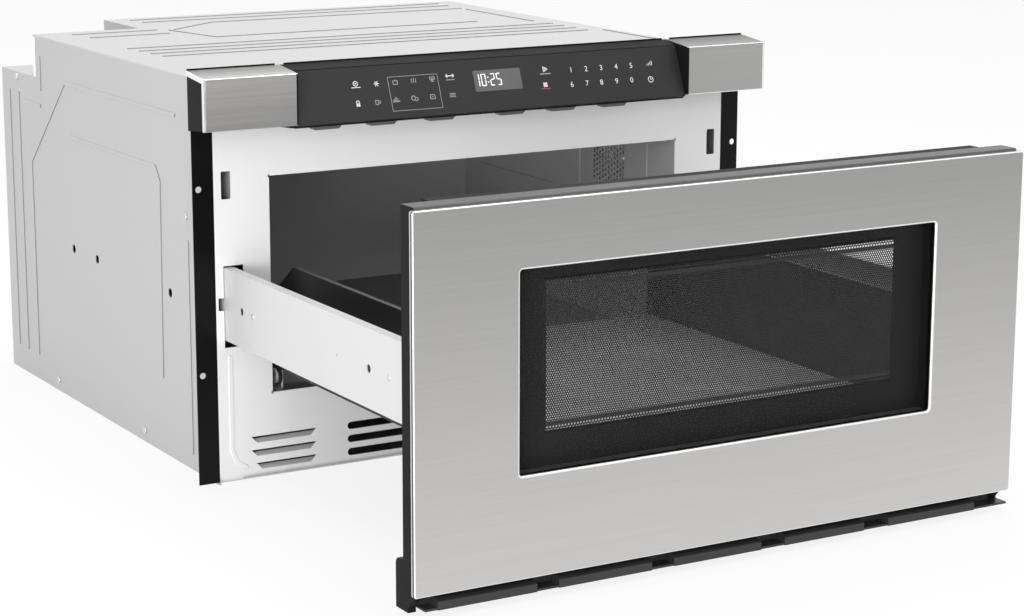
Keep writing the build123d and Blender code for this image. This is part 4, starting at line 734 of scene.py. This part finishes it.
def makePerforated(name, corner, pitch, hole, columns, rowPairs):
    size = screenSizes
    row = pitch * math.sqrt(3) / 2
    bm = bmesh.new()
    addCell(bm, corner, pitch, hole)
    addCell(bm, (corner[0] + pitch / 2, corner[1], corner[2] + row), pitch, hole)
    bmesh.ops.remove_doubles(bm, verts=bm.verts[:], dist=samePoint)
    faceTowards(bm, (0, -1, 0))
    piece = makePiece(bm, name, "drawer", [fieldEnamel], ["mesh_screen"])
    for axis, count, step in ((0, columns, pitch), (2, rowPairs, 2 * row)):
        offset = [0.0, 0.0, 0.0]
        offset[axis] = step
        addModifier(piece, "ARRAY", "repeat", count=count, use_relative_offset=False,
                    use_constant_offset=True, constant_offset_displace=offset, use_merge_vertices=True,
                    merge_threshold=size["merge"])
    addModifier(piece, "SOLIDIFY", "steel", thickness=size["sheet"], offset=-1)


def makeScreen():
    size = screenSizes
    low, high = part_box("mesh_screen")
    half, sill, head = size["field"]
    steel, border = size["steel"], size["border"]
    front = low.y
    sheet = low.y + size["press"]
    bm = bmesh.new()
    inner = addFrame(bm, (low.x, high.x), (low.z, high.z), sheet, (-half - steel, half + steel),
                     (sill - steel, head + steel))[1]
    raised = carryOn(bm, inner, (0, front - sheet, 0), steel)
    carryOn(bm, raised, (0, 0, 0), border)
    faceTowards(bm, (0, -1, 0))
    piece = makePiece(bm, "screenSheet", "drawer", [finishes["screen_steel"]],
                      ["mesh_screen"])
    addModifier(piece, "SOLIDIFY", "steel", thickness=steel, offset=-1)
    softEdges(piece, size["soft"])
    pitch, row = size["pitch"], size["pitch"] * math.sqrt(3) / 2
    face = front + size["sink"]
    topRow = size["topPitch"] * math.sqrt(3) / 2
    reach = size["topPitch"] / math.sqrt(3) / 2
    start = -half + size["topPitch"] / 2
    for name, height in (("screenTopRows", head - border - topRow), ("screenFootRows", sill + border)):
        makePerforated(name, (start, face, height), size["topPitch"], size["topHole"], size["topColumns"], 1)
    fieldHigh = (2 * size["rowPairs"] - 1) * row
    firstRow = (sill + head - fieldHigh) / 2
    for name, start in (("screenFieldLeft", -half + pitch / 2), ("screenFieldRight", pitch / 2)):
        makePerforated(name, (start, face, firstRow), pitch, size["hole"], size["columns"] // 2,
                       size["rowPairs"])
    bm = bmesh.new()
    place = Matrix.Translation((0, face + size["sheet"], 0)) @ Matrix.Rotation(math.pi / 2, 4, "X")
    upperBar = (firstRow + fieldHigh, head - border - topRow - reach)
    lowerBar = (sill + border + topRow + reach, firstRow)
    for bar in (upperBar, lowerBar):
        addPlate(bm, place, (-half + border / 2, half - border / 2), bar, size["sheet"] + size["overlap"])
    closeUp(bm)
    makePiece(bm, "screenBars", "drawer", [fieldEnamel], ["mesh_screen"])


makeScreen()
print("screen made")

# Control panel: display, numerals and plain signs printed on the tilted glass
panelSizes = {"tilt": math.radians(21.68), "glass": 3.5 * mm, "ink": 0.06 * mm, "frameLine": 0.45 * mm,
              "display": (-21.5 * mm, 29.7 * mm, 11.5 * mm, 31.8 * mm), "corner": 0.8 * mm, "time": "10:25"}


def panelPlace():
    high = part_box("control_glass")[1]
    sine, cosine = math.sin(panelSizes["tilt"]), math.cos(panelSizes["tilt"])
    origin = (0, high.y - panelSizes["glass"] * cosine, high.z)
    return Matrix(((1, 0, 0, origin[0]), (0, sine, -cosine, origin[1]), (0, cosine, sine, origin[2]),
                   (0, 0, 0, 1)))


onPanel = panelPlace()
# The printed ink glows faintly: painted light.
ink = mouldedPlastic("panelInk", (0.78, 0.78, 0.78), 0.5, glow=0.05)
softInk = mouldedPlastic("panelSoftInk", (0.36, 0.36, 0.36), 0.5)
redInk = mouldedPlastic("panelRedInk", (0.42, 0.05, 0.06), 0.5)
displayFace = mouldedPlastic("displayFace", (0.125, 0.127, 0.13), 0.35, 60, 0.000003, specular=0.3)
displayLit = mouldedPlastic("displayDigit", (0.85, 0.86, 0.86), 0.4, glow=0.25)

# Where the ten numerals stand: (x, down) in mm.
numerals = {"1": (86.2, 17.3), "2": (103.3, 17.3), "3": (120.4, 17.3), "4": (137.6, 17.3), "5": (154.9, 17.3),
            "6": (84.4, 31.6), "7": (101.5, 31.6), "8": (118.0, 31.6), "9": (135.3, 31.6), "0": (152.6, 31.6)}
numeralHeight = 7.4 * mm

# Lit strokes of a seven-part digit: top, upper left, upper right, middle, lower left, lower right, bottom.
digitParts = {"0": "tlrLRb", "1": "rR", "2": "trmLb", "5": "tlmRb"}
digitSizes = {"left": -20.9 * mm, "top": 14.8 * mm, "width": 5.4 * mm, "height": 12.2 * mm,
              "stroke": 1.25 * mm, "strokeShare": 0.9, "pitch": 7.0 * mm, "colon": 2.6 * mm,
              "colonRise": 2.3 * mm, "colonCorner": 0.3 * mm}


def makeNumerals():
    bm = bmesh.new()
    for digit, (x, down) in numerals.items():
        curve = bpy.data.curves.new("numeral", "FONT")
        curve.body = digit
        curve.size = numeralHeight
        curve.align_x = "CENTER"
        curve.align_y = "CENTER"
        curve.resolution_u = 4
        curve.extrude = panelSizes["ink"]
        letter = bpy.data.objects.new("numeral", curve)
        mesh = bpy.data.meshes.new_from_object(letter)
        mesh.transform(onPanel @ Matrix.Translation((x * mm, -down * mm, 0)))
        bm.from_mesh(mesh)
        bpy.data.objects.remove(letter)
        bpy.data.meshes.remove(mesh)
    closeUp(bm)
    makePiece(bm, "numerals", "case", [ink])


def makeDisplay():
    left, right, top, bottom = panelSizes["display"]
    bm = bmesh.new()
    addPlate(bm, onPanel, (left, right), (-bottom, -top), panelSizes["ink"], panelSizes["corner"])
    closeUp(bm)
    makePiece(bm, "displayWindow", "case", [displayFace])
    size = digitSizes
    above = onPanel @ Matrix.Translation((0, 0, panelSizes["ink"]))
    bm = bmesh.new()
    x = size["left"]
    wide, stroke = size["width"], size["stroke"]
    high, low = -size["top"], -size["top"] - size["height"]
    middle = (high + low) / 2
    inset = stroke / 2
    for sign in panelSizes["time"]:
        if sign == ":":
            for y in (middle + size["colonRise"], middle - size["colonRise"]):
                addPlate(bm, above, (x, x + stroke), (y - inset, y + inset), panelSizes["ink"],
                         size["colonCorner"])
            x += size["colon"]
            continue
        strokes = {"t": ((x + stroke, high - inset), (x + wide - stroke, high - inset)),
                   "m": ((x + stroke, middle), (x + wide - stroke, middle)),
                   "b": ((x + stroke, low + inset), (x + wide - stroke, low + inset)),
                   "l": ((x + inset, middle + inset / 2), (x + inset, high - inset / 2)),
                   "L": ((x + inset, low + inset / 2), (x + inset, middle - inset / 2)),
                   "r": ((x + wide - inset, middle + inset / 2), (x + wide - inset, high - inset / 2)),
                   "R": ((x + wide - inset, low + inset / 2), (x + wide - inset, middle - inset / 2))}
        for part in digitParts[sign]:
            addBar(bm, above, *strokes[part], stroke * size["strokeShare"], panelSizes["ink"])
        x += size["pitch"]
    closeUp(bm)
    makePiece(bm, "displayDigits", "case", [displayLit])


# Plain signs: bars as (start, end), rings as (centre, radius), discs as (centre, radius), all in mm.
signs = {
    "help": {"bars": [((-5, -2.3), (5, -2.3))], "rings": [((0, 1.5), 2.3)], "discs": [((0, 1.5), 0.8)]},
    "thaw": {"bars": [((-3, 0), (3, 0)), ((-1.5, -2.6), (1.5, 2.6)), ((-1.5, 2.6), (1.5, -2.6))]},
    "pot": {"bars": [((-3, 1.5), (3, 1.5)), ((-2.6, 1.2), (-2.6, -2.2)), ((2.6, 1.2), (2.6, -2.2)),
                     ((-2.6, -2.2), (2.6, -2.2)), ((0, 1.5), (0, 2.8))]},
    "warm": {"bars": [((-2.4, -2.2), (-2.4, 2.2)), ((0, -2.2), (0, 2.8)), ((2.4, -2.2), (2.4, 2.2))]},
    "corn": {"rings": [((-1.7, 0.9), 1.5), ((1.7, 0.9), 1.5)], "bars": [((-2.2, -1.2), (2.2, -1.2)),
                                                                       ((-1.6, -2.6), (1.6, -2.6))]},
    "slide": {"bars": [((-4, 0), (4, 0)), ((-4, 0), (-2.4, 1.5)), ((-4, 0), (-2.4, -1.5)),
                       ((4, 0), (2.4, 1.5)), ((4, 0), (2.4, -1.5))]},
    "rule": {"bars": [((-4.5, 0), (4.5, 0))]},
    "lock": {"bars": [((-1.9, -0.7), (1.9, -0.7)), ((-1.9, -1.7), (1.9, -1.7)), ((-1.9, -2.6), (1.9, -2.6))],
             "rings": [((0, 0.9), 1.5)]},
    "cup": {"bars": [((-2.6, 2), (1.6, 2)), ((-2.3, 2), (-1.9, -2.2)), ((1.3, 2), (0.9, -2.2)),
                     ((-1.9, -2.2), (0.9, -2.2))], "rings": [((2.3, 0.2), 1.2)]},
    "tray": {"bars": [((-4, -1.8), (4, -1.8)), ((-3.4, -0.6), (3.4, -0.6)), ((-2.4, 0.9), (2.4, 0.9))],
             "discs": [((0, 2.4), 0.7)]},
    "root": {"rings": [((-1.2, 0.4), 2.2), ((2.0, -0.8), 1.6)]},
    "bag": {"bars": [((-2.3, 2), (2.3, 2)), ((-2.3, 2), (-2.9, -2.4)), ((2.3, 2), (2.9, -2.4)),
                     ((-2.9, -2.4), (2.9, -2.4)), ((-1, -0.4), (1, -0.4))]},
    "list": {"bars": [((-3.6, 1.7), (3.6, 1.7)), ((-3.6, 0), (3.6, 0)), ((-3.6, -1.7), (3.6, -1.7))]},
    "start": {"bars": [((-2.2, -2.4), (-2.2, 2.4)), ((-2.2, 2.4), (2.4, 0)), ((-2.2, -2.4), (2.4, 0)),
                       ((-1, -1), (-1, 1)), ((0, -0.5), (0, 0.5))]},
    "stop": {"bars": [((-2, 1.6), (2, 1.6)), ((-2, 0.6), (2, 0.6)), ((-2, -0.4), (2, -0.4)),
                      ((-2, -1.4), (2, -1.4))]},
    "level": {"bars": [((-3, -2.4), (-3, -0.8)), ((-1, -2.4), (-1, 0.4)), ((1, -2.4), (1, 1.6)),
                       ((3, -2.4), (3, 2.8))]},
    "clock": {"rings": [((0, 0), 2.9)], "bars": [((0, 0), (0, 2)), ((0, 0), (1.5, 0))]},
}
signWidth = 0.75
# (sign, x, down, share of its full size, finish)
signPlaces = [("help", -145.6, 17.3, 0.95, ink), ("thaw", -124.2, 17.3, 0.9, ink),
              ("pot", -104.7, 17.1, 0.9, softInk), ("warm", -85.3, 16.9, 0.9, softInk),
              ("corn", -65.6, 16.4, 0.9, softInk),
              ("slide", -46.6, 14.6, 1.1, ink), ("rule", -46.6, 18.4, 1.0, softInk),
              ("lock", -146.3, 34.4, 1.0, ink), ("cup", -126.4, 34.8, 0.9, softInk),
              ("tray", -106.8, 33.8, 0.95, softInk), ("root", -87.4, 33.7, 0.95, softInk),
              ("bag", -68.3, 33.1, 0.9, softInk), ("list", -47.0, 33.1, 0.9, softInk),
              ("start", 57.6, 14.6, 1.0, ink), ("rule", 57.0, 19.2, 1.3, softInk),
              ("stop", 54.9, 30.0, 1.1, ink), ("rule", 55.0, 33.6, 1.2, redInk),
              ("level", 176.2, 16.1, 0.9, ink), ("clock", 174.5, 32.3, 0.95, ink)]
# The line round the middle group of signs: left, right, top and bottom in mm.
signBox = (-111.9, -59.7, 11.8, 44.3)


def makeSigns():
    made = {mat.name: (mat, bmesh.new()) for mat in (ink, softInk, redInk)}
    for sign, x, down, share, mat in signPlaces:
        bm = made[mat.name][1]
        place = onPanel @ Matrix.Translation((x * mm, -down * mm, 0)) @ Matrix.Diagonal((share, share, 1, 1))
        for start, end in signs[sign].get("bars", []):
            addBar(bm, place, Vector(start) * mm, Vector(end) * mm, signWidth * mm, panelSizes["ink"])
        for centre, radius in signs[sign].get("rings", []):
            addRing(bm, place, Vector(centre) * mm, radius * mm, signWidth * mm, panelSizes["ink"])
        for centre, radius in signs[sign].get("discs", []):
            addDisc(bm, place, Vector(centre) * mm, radius * mm, panelSizes["ink"])
    left, right, top, bottom = (value * mm for value in signBox)
    corners = [(left, -top), (right, -top), (right, -bottom), (left, -bottom)]
    for start, end in zip(corners, corners[1:] + corners[:1]):
        addBar(made[softInk.name][1], onPanel, start, end, panelSizes["frameLine"], panelSizes["ink"])
    for name, (mat, bm) in made.items():
        bmesh.ops.recalc_face_normals(bm, faces=bm.faces[:])
        makePiece(bm, name + ".signs", "case", [mat])


makeNumerals()
makeDisplay()
makeSigns()
print("control panel made")

# CAD pieces that only need their edges softened: (width of the soft edge in mm, steps across it).
softNodes = {"drawer_basket": (1.2, 3), "side_rail_left": (0.45, 2), "side_rail_right": (0.45, 2),
             "bottom_trim": (0.4, 2), "door_frame": (0.35, 2), "mounting_flange_left": (0.3, 2),
             "mounting_flange_right": (0.3, 2), "control_housing": (0.3, 2),
             "glass_tray": (0.7, 2), "latch_hooks": (0.4, 2), "end_cap_bodies": (0.5, 2),
             "bar_seals": (0.4, 2)}
for node, (width, steps) in softNodes.items():
    softened(node, width * mm, steps)
# Faces of one softened piece that take another finish: (finish, least upward normal, lowest and highest z).
# On the door frame, end cap bodies and basket rim that finish is painted light on upward faces.
anyNormal = -1.1
anyHeight = (0.0, 1.0)
secondFinishes = {"door_frame": (paintedTopLight, 0.95, *anyHeight), "end_cap_bodies": (paintedTopLight, 0.95, *anyHeight),
                  "drawer_basket": (paintedTopLight, 0.3, 0.196, 1.0),
                  "control_housing": (tabPlastic, anyNormal, 0.0, 0.3335),
                  "bottom_trim": (trimPlastic, anyNormal, *anyHeight)}
frameBand = 0.5 * mm
trimEnd = {"from": 285.0 * mm, "by": 9.5 * mm}


def addSecondFinish(node, finish, upward, lowest, highest):
    mesh = bpy.data.objects[node + ".soft"].data
    mesh.materials.append(finish)
    for polygon in mesh.polygons:
        if polygon.normal.z > upward and lowest < polygon.center.z < highest:
            polygon.material_index = 1


# The frame's narrow front above the skin takes the same painted light as its top.
def paleFrameFront():
    mesh = bpy.data.objects["door_frame.soft"].data
    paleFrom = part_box("door_skin")[1].z - frameBand
    bm = bmesh.new()
    bm.from_mesh(mesh)
    bmesh.ops.bisect_plane(bm, geom=bm.verts[:] + bm.edges[:] + bm.faces[:], dist=samePoint,
                           plane_co=(0, 0, paleFrom), plane_no=(0, 0, 1))
    for face in bm.faces:
        if abs(face.normal.x) < 0.5 and face.calc_center_median().z > paleFrom:
            face.material_index = 1
    bm.to_mesh(mesh)
    bm.free()


# The trim's end beyond a place moves out to the door's right edge.
def lengthenTrim():
    for vert in bpy.data.objects["bottom_trim.soft"].data.vertices:
        if vert.co.x > trimEnd["from"]:
            vert.co.x += trimEnd["by"]


for node, chosen in secondFinishes.items():
    addSecondFinish(node, *chosen)
paleFrameFront()
lengthenTrim()
print("edges softened on", len(softNodes), "pieces")

# Pan rollers: a pale disc in a dark tread
rollerSizes = {"tread": 1.6 * mm, "dish": 0.5 * mm, "hub": 3.4 * mm, "round": 0.7 * mm}
tread = mouldedPlastic("rollerTread", (0.02, 0.02, 0.02), 0.6, 500, 0.00003, specular=0.2)


def makeRoller(node):
    size = rollerSizes
    low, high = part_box(node)
    centre = (low + high) / 2
    half, outer = (high.x - low.x) / 2, (high.z - low.z) / 2
    rim = outer - size["tread"]
    hub, dish, bend = size["hub"], size["dish"], size["round"]
    bm = bmesh.new()
    leftHalf = [(-half, 0.0), (-half, hub), (-half + dish, hub + dish), (-half + dish, rim - dish),
                (-half, rim), (-half, outer - bend), (-half + bend, outer)]
    spunPiece(bm, centre, leftHalf + [(-along, radius) for along, radius in reversed(leftHalf)])
    closeUp(bm)
    for face in bm.faces:
        spot = face.calc_center_median() - centre
        if math.hypot(spot.y, spot.z) > rim:
            face.material_index = 1
    makePiece(bm, node + ".spun", bodyOf[node], [finishes[slotOf[node]], tread], [node], 30)


for node in ("pan_roller_left", "pan_roller_right"):
    makeRoller(node)

# Rail rivets: low domes and small pips on the outside of the side rails, in mm
rivetSizes = {"places": (-341.1, -602.9), "height": 171.45, "radius": 3.2, "rise": 1.2, "steps": 20,
              "pips": ((-476.0, 171.0), (-508.6, 171.0)), "pip": 1.2, "pipSteps": 12}


def makeRivets():
    size = rivetSizes
    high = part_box("rail_rivets")[1]
    slotName = slotOf["rail_rivets"]
    bm = bmesh.new()
    for side in (-1, 1):
        face = side * (high.x - size["rise"] * mm)
        dome = [(side * size["rise"] * mm * math.sin(angle), size["radius"] * mm * math.cos(angle))
                for angle in (math.radians(step) for step in range(0, 91, 15))]
        for y in size["places"]:
            spunPiece(bm, (face, y * mm, size["height"] * mm), [(0.0, 0.0)] + dome, size["steps"])
        for y, z in size["pips"]:
            pip = [(0.0, 0.0), (0.0, size["pip"] * mm), (side * size["pip"] / 2 * mm, 0.0)]
            spunPiece(bm, (face, y * mm, z * mm), pip, size["pipSteps"])
    closeUp(bm)
    makePiece(bm, "rivetDomes", bodyOf["rail_rivets"], [finishes[slotName]], ["rail_rivets"], 50)


makeRivets()
print("rollers and rivets made")

# Fold of the recess panel over the case's rear corner, in mm
foldSizes = {"width": 6.0, "thick": 0.6, "wall": 279.0, "drop": (331.5, 373.5), "round": 1.0, "gap": 0.3,
             "soft": 0.2}


def makeCornerFold():
    size = foldSizes
    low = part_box("recess_panel")[0]
    place = Matrix(((0, 0, -1, -size["wall"] * mm), (1, 0, 0, 0), (0, 1, 0, 0), (0, 0, 0, 1)))
    bm = bmesh.new()
    across = (low.y - size["width"] * mm, low.y - size["gap"] * mm)
    drop = [z * mm for z in size["drop"]]
    addPlate(bm, place, across, drop, size["thick"] * mm, size["round"] * mm)
    closeUp(bm)
    piece = makePiece(bm, "cornerFold", "case", [finishes["front_paint"]])
    softEdges(piece, size["soft"] * mm)


makeCornerFold()
print("corner fold made")
